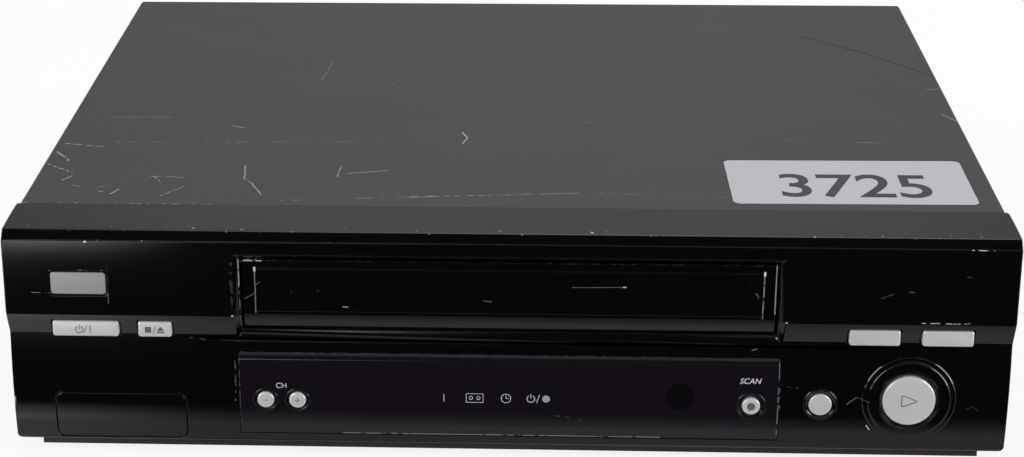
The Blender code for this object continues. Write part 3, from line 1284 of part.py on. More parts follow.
def make_slider():
    """Two side plates joined by a tie bar: it carries the holder inwards."""
    front = HOLDER_Y + SLIDER_FROM_HOLDER_FRONT
    rear = front + SLIDER_DEPTH
    foot = HOLDER_PIN_Z - HOLDER_DROP - SLIDER_FOOT
    top = SLIDER_PIN_Z + SLIDER_TOP
    tie_low = HOLDER_TOP_Z + TIE_GAP
    tie = block(
        (BAY_X - SLIDER_OUTER, rear - TIE_DEPTH, tie_low),
        (BAY_X + SLIDER_OUTER, rear, tie_low + TIE_HEIGHT),
    )
    slider = piece("loader_slider", tie, ZINC, (BAY_X, front, SLIDER_PIN_Z))
    plates = []
    for side in (-1, 1):
        x0, x1 = sorted((BAY_X + side * SLIDER_INNER, BAY_X + side * SLIDER_OUTER))
        plates.append(block((x0, front, foot), (x1, rear + BLEND, top)))
    reach = BRACKET_OUTER + PIN_OUTREACH
    join(slider, *plates, *side_pins(SLIDER_OUTER - BLEND, reach, SLIDER_PIN_Z))
    bore = GUIDE_PIN_RADIUS + RUNNING_GAP
    slots = []
    for y in PIN_YS:
        slot = lens(y, HOLDER_PIN_Z - HOLDER_DROP, y, HOLDER_PIN_Z, bore, SMALL_SIDES)
        for side in (-1, 1):
            middle = BAY_X + side * (SLIDER_INNER + SLIDER_OUTER) / 2
            slots.append(prism(slot, "X", middle - SLIDER_SHEET, middle + SLIDER_SHEET))
    cut(slider, *slots)


def make_brackets():
    front = HOLDER_Y + BLEND
    rear = PIN_YS[1] + HOLDER_TRAVEL + BRACKET_MARGIN
    top = SLIDER_PIN_Z + BRACKET_TOP
    bore = GUIDE_PIN_RADIUS + RUNNING_GAP
    slot = lens(PIN_YS[0], SLIDER_PIN_Z, PIN_YS[1] + HOLDER_TRAVEL, SLIDER_PIN_Z, bore, SMALL_SIDES)
    for hand, side in (("left", -1), ("right", 1)):
        section = [
            (BRACKET_INNER, SEAT_Z),
            (BRACKET_OUTER + BRACKET_FLANGE, SEAT_Z),
            (BRACKET_OUTER + BRACKET_FLANGE, SEAT_Z + BRACKET_SHEET),
            (BRACKET_OUTER, SEAT_Z + BRACKET_SHEET),
            (BRACKET_OUTER, top),
            (BRACKET_INNER, top),
        ]
        outline = [(BAY_X + side * x, z) for x, z in section]
        centre = (BAY_X + side * BRACKET_INNER, front, SEAT_Z)
        bracket = piece(f"loader_bracket_{hand}", prism(outline, "Y", front, rear), ZINC, centre)
        middle = BAY_X + side * (BRACKET_INNER + BRACKET_OUTER) / 2
        cut(bracket, prism(slot, "X", middle - BRACKET_SHEET, middle + BRACKET_SHEET))


# Tape deck
CAPSTAN = (BAY_X + CAPSTAN_X, LOADED_REAR_Y + CAPSTAN_BEHIND)
CLUTCH = (BAY_X, LOADED_REAR_Y - CLUTCH_AHEAD)
PINCH_PIVOT = (BAY_X + PINCH_X, LOADED_REAR_Y + PINCH_BEHIND)
TENSION_PIVOT = (BAY_X + TENSION_X, LOADED_REAR_Y - TENSION_AHEAD)
REELS = {
    "supply_reel_table": (BAY_X - REEL_SPACING / 2, LOADED_REAR_Y - REEL_AHEAD),
    "take_up_reel_table": (BAY_X + REEL_SPACING / 2, LOADED_REAR_Y - REEL_AHEAD),
}
CAM = (BAY_X + CAM_X, DRUM_Y + CAM_BEHIND_DRUM)
GEAR_DISTANCE = (CAM_TEETH + PINION_TEETH) * GEAR_PITCH_PER_TOOTH
PINION = (
    CAM[0] + GEAR_DISTANCE * math.cos(PINION_ANGLE),
    CAM[1] + GEAR_DISTANCE * math.sin(PINION_ANGLE),
)
GUIDES = {
    "supply_guide": (-1, GUIDE_STEM_RADIUS),
    "take_up_guide": (1, GUIDE_STEM_RADIUS),
}
FLYWHEEL_TOP_Z = DECK_Z - FLYWHEEL_BELOW_DECK
FLYWHEEL_FOOT_Z = FLYWHEEL_TOP_Z - FLYWHEEL_HEIGHT


def guide_path(side):
    """Start and end of a tape guide's track."""
    start = (BAY_X + side * GUIDE_START_X, LOADED_REAR_Y - GUIDE_START_AHEAD)
    return start, (BAY_X + side * GUIDE_END_X, LOADED_REAR_Y + GUIDE_END_BEHIND)


def axle(centre, top, foot=None):
    """A pin of the deck that a wheel or an arm turns on."""
    low = DECK_Z + DECK_SHEET / 2 if foot is None else foot
    return cylinder("Z", *centre, AXLE_RADIUS, low, top, SMALL_SIDES)


def make_deck():
    plate = block(
        (BAY_X - DECK_HALF, DECK_FRONT_Y, DECK_Z),
        (BAY_X + DECK_HALF, DECK_REAR_Y, DECK_TOP_Z),
    )
    deck = piece("deck_chassis", plate, ZINC, (BAY_X, DECK_FRONT_Y, DECK_Z))
    middle = DECK_Z + DECK_SHEET / 2
    parts = [axle(centre, SEAT_Z + REEL_HEIGHT - AXLE_SINK) for centre in REELS.values()]
    parts.append(axle(CAM, SEAT_Z + GEAR_HEIGHT - FIT))
    parts.append(axle(PINCH_PIVOT, SEAT_Z + BEARING_HEIGHT))
    parts.append(axle(TENSION_PIVOT, SEAT_Z + BEARING_HEIGHT / 2))
    parts.append(axle(CLUTCH, middle, FLYWHEEL_FOOT_Z))
    parts.append(cylinder("Z", *CAPSTAN, BEARING_RADIUS, FLYWHEEL_TOP_Z + FIT, SEAT_Z + BEARING_HEIGHT))
    join(deck, *parts)
    ends = (FLYWHEEL_TOP_Z - OVERRUN, SEAT_Z + BEARING_HEIGHT + OVERRUN)
    holes = [
        cylinder("Z", *CAPSTAN, CAPSTAN_RADIUS + FIT, *ends, SMALL_SIDES),
        cylinder("Z", *PINION, MOTOR_SHAFT_RADIUS + RUNNING_GAP, *ends, SMALL_SIDES),
    ]
    for side, radius in GUIDES.values():
        (x0, y0), (x1, y1) = guide_path(side)
        holes.append(prism(lens(x0, y0, x1, y1, radius + RUNNING_GAP, SMALL_SIDES), "Z", *ends))
    cut(deck, *holes)


def make_drum():
    """A fixed lower drum on a wedge seat, and the upper drum that spins on its pin."""
    drop = DRUM_RADIUS * math.sin(DRUM_TILT)
    centre = Vector((BAY_X, DRUM_Y, SEAT_Z + DRUM_SEAT + drop))
    tilt = Matrix.Translation(centre) @ Matrix.Rotation(DRUM_TILT, 4, "X")
    seat_top = SEAT_Z + DRUM_SEAT + 2 * drop
    seat = cylinder("Z", BAY_X, DRUM_Y, DRUM_SEAT_RADIUS, SEAT_Z, seat_top, 2 * ROUND_SIDES)
    lower = piece("lower_drum", seat, CAST, centre)
    split = DRUM_LOWER_HEIGHT
    top = split + DRUM_GAP + DRUM_UPPER_HEIGHT
    pin_top = top - DRUM_PIN_SINK
    body = turned(
        "Z",
        0,
        0,
        [(DRUM_RADIUS - DRUM_SEAT, 0), (DRUM_RADIUS, DRUM_SEAT), (DRUM_RADIUS, split)],
        2 * ROUND_SIDES,
    )
    pin = cylinder("Z", 0, 0, DRUM_PIN_RADIUS, split - BLEND, pin_top)
    for shape in (body, pin):
        bmesh.ops.transform(shape, verts=shape.verts, matrix=tilt)
    join(lower, body, pin)

    foot = split + DRUM_GAP
    profile = [
        (DRUM_PIN_RADIUS + FIT, foot),
        (DRUM_RADIUS, foot),
        (DRUM_RADIUS, top - DRUM_EDGE),
        (DRUM_RADIUS - DRUM_EDGE, top),
        (DRUM_HUB_RADIUS, top),
        (DRUM_HUB_RADIUS, top - DRUM_HUB_SINK),
        (DRUM_PIN_RADIUS + FIT, top - DRUM_HUB_SINK),
    ]
    upper = ring(profile, 2 * ROUND_SIDES)
    bmesh.ops.transform(upper, verts=upper.verts, matrix=tilt)
    piece("head_drum", upper, STEEL, centre)


def ring(profile, sides=ROUND_SIDES):
    """A bored solid, turned round Z at the origin from a closed profile of (radius, z)."""
    bm = bmesh.new()
    corners = [bm.verts.new((radius, 0, z)) for radius, z in profile]
    edges = [bm.edges.new((a, b)) for a, b in zip(corners, corners[1:] + corners[:1])]
    bmesh.ops.spin(
        bm,
        geom=corners + edges,
        cent=(0, 0, 0),
        axis=(0, 0, 1),
        angle=2 * math.pi,
        steps=sides,
        use_merge=True,
    )
    bmesh.ops.remove_doubles(bm, verts=bm.verts, dist=MERGE)
    bmesh.ops.recalc_face_normals(bm, faces=bm.faces)
    return bm


def wheel(name, centre, profile, material, sides=ROUND_SIDES):
    """A bored wheel at its place on the deck."""
    bm = ring(profile, sides)
    bmesh.ops.translate(bm, verts=bm.verts, vec=(*centre, 0))
    return piece(name, bm, material, (*centre, profile[0][1]))


def make_reel_tables():
    bore = AXLE_RADIUS + FIT
    top = SEAT_Z + REEL_HEIGHT
    table = SEAT_Z + REEL_TABLE_SHEET
    for name, centre in REELS.items():
        profile = [
            (bore, SEAT_Z),
            (REEL_TABLE_RADIUS, SEAT_Z),
            (REEL_TABLE_RADIUS, table),
            (REEL_HUB_RADIUS, table),
            (REEL_HUB_RADIUS, top - REEL_TIP),
            (REEL_TIP_RADIUS, top),
            (bore, top),
        ]
        wheel(name, centre, profile, WHITE_PLASTIC)


def make_capstan():
    """The flywheel under the deck and the capstan shaft that rises from it."""
    profile = [
        (FLYWHEEL_RADIUS, FLYWHEEL_FOOT_Z),
        (FLYWHEEL_RADIUS, FLYWHEEL_TOP_Z),
        (CAPSTAN_RADIUS, FLYWHEEL_TOP_Z),
        (CAPSTAN_RADIUS, SEAT_Z + CAPSTAN_TOP),
    ]
    piece("capstan_flywheel", turned("Z", *CAPSTAN, profile), STEEL, (*CAPSTAN, FLYWHEEL_FOOT_Z))


def make_clutch_and_belt():
    bore = AXLE_RADIUS + FIT
    profile = [
        (bore, FLYWHEEL_FOOT_Z),
        (CLUTCH_RADIUS, FLYWHEEL_FOOT_Z),
        (CLUTCH_RADIUS, FLYWHEEL_TOP_Z),
        (bore, FLYWHEEL_TOP_Z),
    ]
    wheel("clutch_pulley", CLUTCH, profile, WHITE_PLASTIC)
    middle = (FLYWHEEL_FOOT_Z + FLYWHEEL_TOP_Z) / 2
    ends = (middle - BELT_HEIGHT / 2, middle + BELT_HEIGHT / 2)
    belt = piece("drive_belt", prism(belt_outline(FIT + BELT_SHEET), "Z", *ends), RUBBER, (*CLUTCH, middle))
    cut(belt, prism(belt_outline(FIT), "Z", ends[0] - OVERRUN, ends[1] + OVERRUN))


def belt_outline(grow):
    """A loop round the flywheel and the clutch pulley, at a distance from both."""
    (x0, y0), (x1, y1) = CAPSTAN, CLUTCH
    span = math.hypot(x1 - x0, y1 - y0)
    heading = math.atan2(y1 - y0, x1 - x0)
    lean = math.acos((FLYWHEEL_RADIUS - CLUTCH_RADIUS) / span)
    share = 1 / math.cos(math.pi / (2 * ROUND_SIDES))
    round_big = (heading + lean, heading + 2 * math.pi - lean, ROUND_SIDES)
    big = arc(x0, y0, (FLYWHEEL_RADIUS + grow) * share, *round_big)
    small = arc(x1, y1, (CLUTCH_RADIUS + grow) * share, heading - lean, heading + lean, ROUND_SIDES // 2)
    return big + small


def pinch_roller_place():
    """Where the roller stands at rest: it is swung back from its contact with the capstan."""
    touch_y = CAPSTAN[1] + CAPSTAN_RADIUS + PINCH_ROLLER_RADIUS + PINCH_CONTACT_GAP
    arm = Vector((CAPSTAN[0] - PINCH_PIVOT[0], touch_y - PINCH_PIVOT[1], 0))
    arm.rotate(Matrix.Rotation(-PINCH_SWING, 3, "Z"))
    return PINCH_PIVOT[0] + arm.x, PINCH_PIVOT[1] + arm.y


def make_pinch():
    roller = pinch_roller_place()
    low = SEAT_Z + HEAD_FOOT_SHEET
    top = low + PINCH_ARM_SHEET
    outline = lens(*PINCH_PIVOT, *roller, PINCH_ARM_WIDTH / 2, SMALL_SIDES)
    arm = piece("pinch_arm", prism(outline, "Z", low, top), ZINC, (*PINCH_PIVOT, low))
    boss = cylinder("Z", *PINCH_PIVOT, PINCH_ARM_WIDTH / 2 + FIT, SEAT_Z, top + BLEND)
    pin_top = top + FIT + PINCH_ROLLER_HEIGHT + PINCH_PIN_REACH
    join(arm, boss, cylinder("Z", *roller, AXLE_RADIUS, top - BLEND, pin_top, SMALL_SIDES))
    cut(arm, cylinder("Z", *PINCH_PIVOT, AXLE_RADIUS + FIT, SEAT_Z - OVERRUN, top + OVERRUN, SMALL_SIDES))
    foot = top + FIT
    profile = [
        (AXLE_RADIUS + FIT, foot),
        (PINCH_ROLLER_RADIUS, foot),
        (PINCH_ROLLER_RADIUS, foot + PINCH_ROLLER_HEIGHT),
        (AXLE_RADIUS + FIT, foot + PINCH_ROLLER_HEIGHT),
    ]
    wheel("pinch_roller", roller, profile, RUBBER)


def make_heads():
    """The fixed heads beside the drum, each on a small foot."""
    places = {
        "audio_control_head": (CONTROL_HEAD_X, HEAD_BEHIND),
        "erase_head": (ERASE_HEAD_X, ERASE_HEAD_BEHIND),
    }
    half_w, half_d = HEAD_WIDTH / 2, HEAD_DEPTH / 2
    for name, (x, behind) in places.items():
        x += BAY_X
        y = LOADED_REAR_Y + behind
        low = (x - half_w - HEAD_FOOT, y - half_d, SEAT_Z)
        foot = block(low, (x + half_w + HEAD_FOOT, y + half_d, SEAT_Z + HEAD_FOOT_SHEET))
        head = piece(name, foot, STEEL, (x, y, SEAT_Z))
        outline = rounded(x - half_w, x + half_w, y - half_d + BLEND, y + half_d - BLEND, KEY_CORNER)
        join(head, prism(outline, "Z", SEAT_Z + BLEND, SEAT_Z + HEAD_HEIGHT))


def make_guides():
    """The two posts that draw the tape out of the cassette and round the drum."""
    for name, (side, stem) in GUIDES.items():
        (x, y), _ = guide_path(side)
        base = SEAT_Z + GUIDE_BASE_SHEET
        profile = [
            (stem, DECK_Z - FIT),
            (stem, SEAT_Z),
            (GUIDE_BASE_RADIUS, SEAT_Z),
            (GUIDE_BASE_RADIUS, base),
            (GUIDE_ROLLER_RADIUS, base),
            (GUIDE_ROLLER_RADIUS, SEAT_Z + GUIDE_TOP),
        ]
        piece(name, turned("Z", x, y, profile, SMALL_SIDES), STEEL, (x, y, SEAT_Z))


def make_tension_arm():
    x, y = TENSION_PIVOT
    tip = (x + TENSION_LENGTH * math.cos(TENSION_ANGLE), y + TENSION_LENGTH * math.sin(TENSION_ANGLE))
    top = SEAT_Z + TENSION_ARM_SHEET
    outline = lens(x, y, *tip, TENSION_ARM_WIDTH / 2, SMALL_SIDES)
    arm = piece("tension_arm", prism(outline, "Z", SEAT_Z, top), ZINC, (x, y, SEAT_Z))
    join(arm, cylinder("Z", *tip, TENSION_POST_RADIUS, SEAT_Z + BLEND, SEAT_Z + TENSION_TOP, SMALL_SIDES))
    cut(arm, cylinder("Z", x, y, AXLE_RADIUS + FIT, SEAT_Z - OVERRUN, top + OVERRUN, SMALL_SIDES))


def gear_outline(centre, teeth, turn):
    """Trapezoid teeth round a pitch circle, the first of them centred on the angle turn."""
    pitch = teeth * GEAR_PITCH_PER_TOOTH
    step = 2 * math.pi / teeth
    points = []
    for tooth in range(teeth):
        middle = turn + tooth * step
        for radius, share in (
            (pitch - GEAR_ROOT, -GEAR_FLANK_SHARE),
            (pitch + GEAR_TOP, -GEAR_CREST_SHARE),
            (pitch + GEAR_TOP, GEAR_CREST_SHARE),
            (pitch - GEAR_ROOT, GEAR_FLANK_SHARE),
        ):
            angle = middle + share * step
            points.append((centre[0] + radius * math.cos(angle), centre[1] + radius * math.sin(angle)))
    return points


def make_gears():
    """The cam gear on its axle, and the motor's pinion in mesh with it."""
    top = SEAT_Z + GEAR_HEIGHT
    cam = piece(
        "cam_gear",
        prism(gear_outline(CAM, CAM_TEETH, PINION_ANGLE), "Z", SEAT_Z, top),
        WHITE_PLASTIC,
        (*CAM, SEAT_Z),
    )
    cut(cam, cylinder("Z", *CAM, AXLE_RADIUS + FIT, SEAT_Z - OVERRUN, top + OVERRUN, SMALL_SIDES))
    turn = PINION_ANGLE + math.pi + math.pi / PINION_TEETH
    pinion = piece(
        "motor_pinion",
        prism(gear_outline(PINION, PINION_TEETH, turn), "Z", SEAT_Z, top),
        WHITE_PLASTIC,
        (*PINION, SEAT_Z),
    )
    bore = MOTOR_SHAFT_RADIUS + FIT
    cut(pinion, cylinder("Z", *PINION, bore, SEAT_Z - OVERRUN, top + OVERRUN, SMALL_SIDES))
    shaft_top = top - FIT
    can_top = DECK_Z - FIT
    profile = [
        (MOTOR_RADIUS, can_top - MOTOR_HEIGHT),
        (MOTOR_RADIUS, can_top),
        (MOTOR_SHAFT_RADIUS, can_top),
        (MOTOR_SHAFT_RADIUS, shaft_top),
    ]
    piece("loading_motor", turned("Z", *PINION, profile), STEEL, (*PINION, can_top))


def main():
    clear_scene()
    make_front_panel()
    make_badge_plate()
    make_window()
    make_door()
    make_flap()
    make_keys()
    make_round_buttons()
    make_top_cover()
    make_base()
    make_feet()
    make_rear_panel()
    make_screws()
    make_main_board()
    make_power_supply()
    make_front_board()
    make_front_jacks()
    make_rear_sockets()
    make_cord_gland()
    make_holder()
    make_slider()
    make_brackets()
    make_deck()
    make_drum()
    make_reel_tables()
    make_capstan()
    make_clutch_and_belt()
    make_pinch()
    make_heads()
    make_guides()
    make_tension_arm()
    make_gears()


main()
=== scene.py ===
# %% [markdown]
# # A video cassette recorder
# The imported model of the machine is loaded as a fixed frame. Its case, keys and window get
# finer pieces here, modelled with Blender's own tools, and every surface gets a node material.
# The sockets, the deck and the mechanism keep the frame's own shapes.

import json
import math

import bmesh
import bpy
from mathutils import Matrix, Vector

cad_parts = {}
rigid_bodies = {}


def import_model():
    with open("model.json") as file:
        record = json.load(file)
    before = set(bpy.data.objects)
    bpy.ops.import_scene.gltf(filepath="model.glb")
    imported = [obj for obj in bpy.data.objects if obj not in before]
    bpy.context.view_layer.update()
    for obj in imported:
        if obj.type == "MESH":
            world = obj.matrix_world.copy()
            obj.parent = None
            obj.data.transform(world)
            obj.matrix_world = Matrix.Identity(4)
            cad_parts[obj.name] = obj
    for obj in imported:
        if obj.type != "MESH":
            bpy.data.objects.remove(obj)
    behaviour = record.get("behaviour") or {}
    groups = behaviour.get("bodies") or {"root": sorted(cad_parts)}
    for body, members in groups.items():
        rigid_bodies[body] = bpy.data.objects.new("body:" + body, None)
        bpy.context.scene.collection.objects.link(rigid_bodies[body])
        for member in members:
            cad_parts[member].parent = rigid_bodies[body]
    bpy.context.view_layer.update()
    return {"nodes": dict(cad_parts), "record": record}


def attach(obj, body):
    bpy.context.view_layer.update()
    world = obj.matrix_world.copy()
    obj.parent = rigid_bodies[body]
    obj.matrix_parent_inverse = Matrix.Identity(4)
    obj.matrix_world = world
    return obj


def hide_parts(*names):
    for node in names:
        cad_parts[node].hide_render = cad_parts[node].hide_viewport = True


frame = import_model()
nodes = frame["nodes"]
MM = 0.001
TINY = 1e-6

# %% [markdown]
# ## Measures of the case
# Every piece is placed from the front panel's own planes, in millimetres, and the front faces
# -Y. The lower face bulges gently and runs straight at its top. Its depth could be read off a
# mesh, but a formula gives it at any height, so whatever follows the bulge uses that.

# %% Planes of the front
FRONT, SEAM, REAR, TOP = -170.5, -141.8, 170.5, 99.8
RIDGE, UPPER_FOOT, BAND_FOOT, PANEL_FOOT = 94.7, 63.2, 53.0, 5.5
SET_BACK, CREST, BULGE, BULGE_TOP = 3.7, 31.15, 180.0, 45.5
SLOT_LEFT, SLOT_RIGHT, SLOT_FOOT, SLOT_TOP = -105.8, 107.2, 55.7, 87.5
WINDOW_LEFT, WINDOW_RIGHT, WINDOW_FOOT, WINDOW_TOP = -107.65, 109.05, 10.2, 45.9


def face_y(z, behind=0.0):
    """Depth of the lower face at a height, or of a surface behind it."""
    bent = min(z, BULGE_TOP)
    reach = math.sqrt((BULGE - behind) ** 2 - (bent - CREST) ** 2)
    return FRONT + SET_BACK + BULGE - reach + (z - bent) * (bent - CREST) / reach


def band_y(z):
    """Depth of the slanted band at a height."""
    share = (UPPER_FOOT - z) / (UPPER_FOOT - BAND_FOOT)
    return FRONT + (face_y(BAND_FOOT) - FRONT) * share


print("lower face at its crest:", round(face_y(CREST), 2), "mm")

# %% [markdown]
# ## Modelling helpers
# Each piece starts as a primitive, is shaped in edit mode, and ends with its modifiers applied.
# Operators act on what is selected, so everything is deselected first, and faces and edges are
# then chosen in code, by their place or direction.


# %% Start, select and name
def mode(name):
    bpy.ops.object.mode_set(mode=name)


def fresh():
    """Back to object mode with nothing selected."""
    if bpy.context.object and bpy.context.object.mode != "OBJECT":
        mode("OBJECT")
    bpy.ops.object.select_all(action="DESELECT")


def only(obj):
    fresh()
    obj.select_set(True)
    bpy.context.view_layer.objects.active = obj


def named(name):
    obj = bpy.context.object
    obj.name = name
    obj.data.name = name
    return obj


def everything():
    bpy.ops.mesh.select_all(action="SELECT")


def choose(kind, test):
    """Selects the faces, edges or points of the edited mesh that pass a test."""
    bpy.ops.mesh.select_mode(type=kind)
    bpy.ops.mesh.select_all(action="DESELECT")
    mesh = bmesh.from_edit_mesh(bpy.context.object.data)
    for part in {"VERT": mesh.verts, "EDGE": mesh.edges, "FACE": mesh.faces}[kind]:
        if test(part):
            part.select_set(True)
    mesh.select_flush_mode()
    bmesh.update_edit_mesh(bpy.context.object.data)


def outwards():
    """Turns every face of the edited mesh outwards and leaves edit mode."""
    everything()
    bpy.ops.mesh.normals_make_consistent(inside=False)
    mode("OBJECT")


# %% Blocks and bars
def block(name, low, high):
    """A cube stretched between two corners, in millimetres."""
    fresh()
    low, high = Vector(low) * MM, Vector(high) * MM
    bpy.ops.mesh.primitive_cube_add(size=1, location=(low + high) / 2)
    obj = named(name)
    obj.scale = high - low
    bpy.ops.object.transform_apply(location=True, rotation=True, scale=True)
    return obj


def rounded_block(name, low, high, along, radius, steps=8):
    """A block whose four edges along one axis are rounded."""
    obj = block(name, low, high)
    mode("EDIT")
    axis = "XYZ".index(along)
    choose("EDGE", lambda e: abs((e.verts[0].co - e.verts[1].co).normalized()[axis]) > 0.99)
    bpy.ops.mesh.bevel(offset=radius * MM, segments=steps, affect="EDGES")
    mode("OBJECT")
    return obj


def begin(name, unwanted, first):
    """A plane with its unwanted corners deleted, and the rest moved to a first place."""
    fresh()
    bpy.ops.mesh.primitive_plane_add(size=1)
    obj = named(name)
    mode("EDIT")
    choose("VERT", unwanted)
    bpy.ops.mesh.delete(type="VERT")
    for corner in bmesh.from_edit_mesh(obj.data).verts:
        corner.co = Vector(first(corner.co.x)) * MM
    bmesh.update_edit_mesh(obj.data)
    everything()
    return obj


def bar(name, outline, start, end):
    """An outline of (y, z) points drawn out along X."""
    obj = begin(name, lambda v: v.co.y > 0, lambda x: (start if x < 0 else end, *outline[0]))
    for here, there in zip(outline, outline[1:]):
        step = (0, (there[0] - here[0]) * MM, (there[1] - here[1]) * MM)
        bpy.ops.mesh.extrude_region_move(TRANSFORM_OT_translate={"value": step})
    ends = (outline[0], outline[-1])

    def at_end(edge):
        a, b = (v.co for v in edge.verts)
        near = any(abs(a.y - y * MM) < TINY and abs(a.z - z * MM) < TINY for y, z in ends)
        return near and abs(a.x - b.x) > MM

    choose("EDGE", at_end)
    bpy.ops.mesh.edge_face_add()
    for x in (start, end):
        choose("EDGE", lambda e: all(abs(v.co.x - x * MM) < TINY for v in e.verts))
        bpy.ops.mesh.edge_face_add()
    outwards()
    return obj


# %% Turned pieces
MERGE = 2e-6
LAID = {"Y": Matrix.Identity(4), "X": Matrix.Rotation(-math.pi / 2, 4, "Z")}


def turned(name, centre, along, profile, steps=96, closed=False):
    """A profile of (radius, depth) points spun round an axis through a centre."""
    obj = begin(name, lambda v: v.co.x > 0 or v.co.y > 0, lambda x: (*profile[0], 0))
    path = list(profile) + ([profile[0]] if closed else [])
    for here, there in zip(path, path[1:]):
        step = ((there[0] - here[0]) * MM, (there[1] - here[1]) * MM, 0)
        bpy.ops.mesh.extrude_vertices_move(TRANSFORM_OT_translate={"value": step})
    everything()
    bpy.ops.mesh.remove_doubles(threshold=MERGE)
    everything()
    bpy.ops.mesh.spin(steps=steps, angle=2 * math.pi, center=(0, 0, 0), axis=(0, 1, 0))
    everything()
    bpy.ops.mesh.remove_doubles(threshold=MERGE)
    outwards()
    obj.data.transform(Matrix.Translation(Vector(centre) * MM) @ LAID[along])
    return obj


def rod(name, centre, along, radius, start, end, steps=64):
    """A plain round bar, for pins and for boring holes."""
    ends = [(0, start), (radius, start), (radius, end), (0, end)]
    return turned(name, centre, along, ends, steps)


# %% Cutting and softening
def modify(obj, kind, **settings):
    only(obj)
    modifier = obj.modifiers.new(kind.title(), kind)
    for key, value in settings.items():
        setattr(modifier, key, value)
    bpy.ops.object.modifier_apply(modifier=modifier.name)


def shape(obj, operation, *tools):
    """Boolean with each tool in turn; the tools are used up."""
    for tool in tools:
        modify(obj, "BOOLEAN", operation=operation, solver="EXACT", object=tool)
        bpy.data.objects.remove(tool)
    return obj


def smooth(obj, angle=50):
    only(obj)
    bpy.ops.object.shade_smooth_by_angle(angle=math.radians(angle))
    return obj


def soften(obj, width, steps=3, angle=30):
    """Small rounded edges, so that they catch the light, then smooth shading."""
    limit = {"limit_method": "ANGLE", "angle_limit": math.radians(angle)}
    corners = {"use_clamp_overlap": False, "miter_outer": "MITER_ARC"}
    modify(obj, "BEVEL", width=width * MM, segments=steps, **limit, **corners)
    smooth(obj)
    modify(obj, "WEIGHTED_NORMAL", keep_sharp=True, weight=100)
    return obj


# %% [markdown]
# A gloss surface shows every small error of its normals, and a face that a Boolean has cut up
# has many. More faces would hide them at a high cost. The true direction is known here, from
# the flats and from the formula of the bulge, so the mesh is given exactly that.


# %% Exact normals and the link to the frame
def facing(here, there):
    """Outward normal of a flat between two (y, z) points, the upper one first."""
    return Vector((0, there[1] - here[1], here[0] - there[0])).normalized()


UPRIGHT = [(SEAM, 99.9), (-167.0, 98.2), (FRONT, RIDGE), (FRONT, UPPER_FOOT)]
CORNERS = UPRIGHT + [(face_y(BAND_FOOT), BAND_FOOT)]
FLATS = [facing(here, there) for here, there in zip(CORNERS, CORNERS[1:])]
SAME_FLAT, SAME_CURVE = 0.998, 0.99
CURVE_FOOT, CURVE_TOP = 0.0072, 0.0528


def true_normals(obj, surface=face_y):
    """Gives the flats and the strips of a curved face their exact normals."""
    mesh = obj.data
    normals = [Vector(corner.vector) for corner in mesh.corner_normals]

    def ideal(height):
        z = height / MM
        rise = (surface(z + 0.05) - surface(z - 0.05)) / 0.1
        return Vector((0, -1, rise)).normalized()

    for face in mesh.polygons:
        height = face.center.z
        flat = [normal for normal in FLATS if face.normal.dot(normal) > SAME_FLAT]
        curved = face.normal.dot(ideal(height)) > SAME_CURVE
        if CURVE_FOOT < height < CURVE_TOP and curved:
            for corner in face.loop_indices:
                normals[corner] = ideal(mesh.vertices[mesh.loops[corner].vertex_index].co.z)
        elif flat:
            for corner in face.loop_indices:
                normals[corner] = flat[0]
    mesh.normals_split_custom_set(normals)


FINISH = {}


def fit(obj, material, body, slot, *replaced):
    """Gives a finished piece its material, the body it moves with and the nodes it stands for."""
    obj.data.materials.clear()
    obj.data.materials.append(FINISH[material])
    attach(obj, body)
    if replaced:
        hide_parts(*replaced)
    print(f"{obj.name}: {len(obj.data.polygons)} faces on {body}")
    return obj


# %% [markdown]
# ## Materials
# The finishes share a few effects: a fine grain, specks of dust and chips, and long lines, which
# draw scratches and also painted highlights, painted reflection and painted shade.
# Pictures could be painted for them, but nodes stay sharp at any size and need no files. Each
# effect is one node group with its own inputs, built once and placed in each material.


# %% Node helpers
def add(tree, kind, feeds=None, **settings):
    """A node with its settings, fed from values or from other nodes' sockets."""
    node = tree.nodes.new(kind)
    for key, value in settings.items():
        setattr(node, key, value)
    for key, value in (feeds or {}).items():
        if isinstance(value, bpy.types.NodeSocket):
            tree.links.new(value, node.inputs[key])
        else:
            node.inputs[key].default_value = value
    return node


def maths(tree, operation, a, b=0.0, c=0.0, clamp=False):
    feeds = {0: a, 1: b, 2: c}
    return add(tree, "ShaderNodeMath", feeds, operation=operation, use_clamp=clamp).outputs[0]


def vector(tree, operation, a, b=(0, 0, 0), output="Vector"):
    return add(tree, "ShaderNodeVectorMath", {0: a, 1: b}, operation=operation).outputs[output]


def scaled(tree, a, factor):
    feeds = {0: a, "Scale": factor}
    return add(tree, "ShaderNodeVectorMath", feeds, operation="SCALE").outputs[0]


def noise(tree, place, scale, detail, **more):
    feeds = {"Vector": place, "Scale": scale, "Detail": detail, **more}
    return add(tree, "ShaderNodeTexNoise", feeds).outputs


def ramp(tree, value, low, high, start=0.0, end=1.0, kind="SMOOTHSTEP"):
    feeds = {"Value": value, "From Min": low, "From Max": high, "To Min": start, "To Max": end}
    return add(tree, "ShaderNodeMapRange", feeds, interpolation_type=kind).outputs["Result"]


def mix(tree, share, a, b):
    """Two colours mixed; the second is a plain colour."""
    node = add(tree, "ShaderNodeMix", {"Factor": share}, data_type="RGBA")
    tree.links.new(a, node.inputs[6])
    node.inputs[7].default_value = (*b, 1)
    return node.outputs[2]


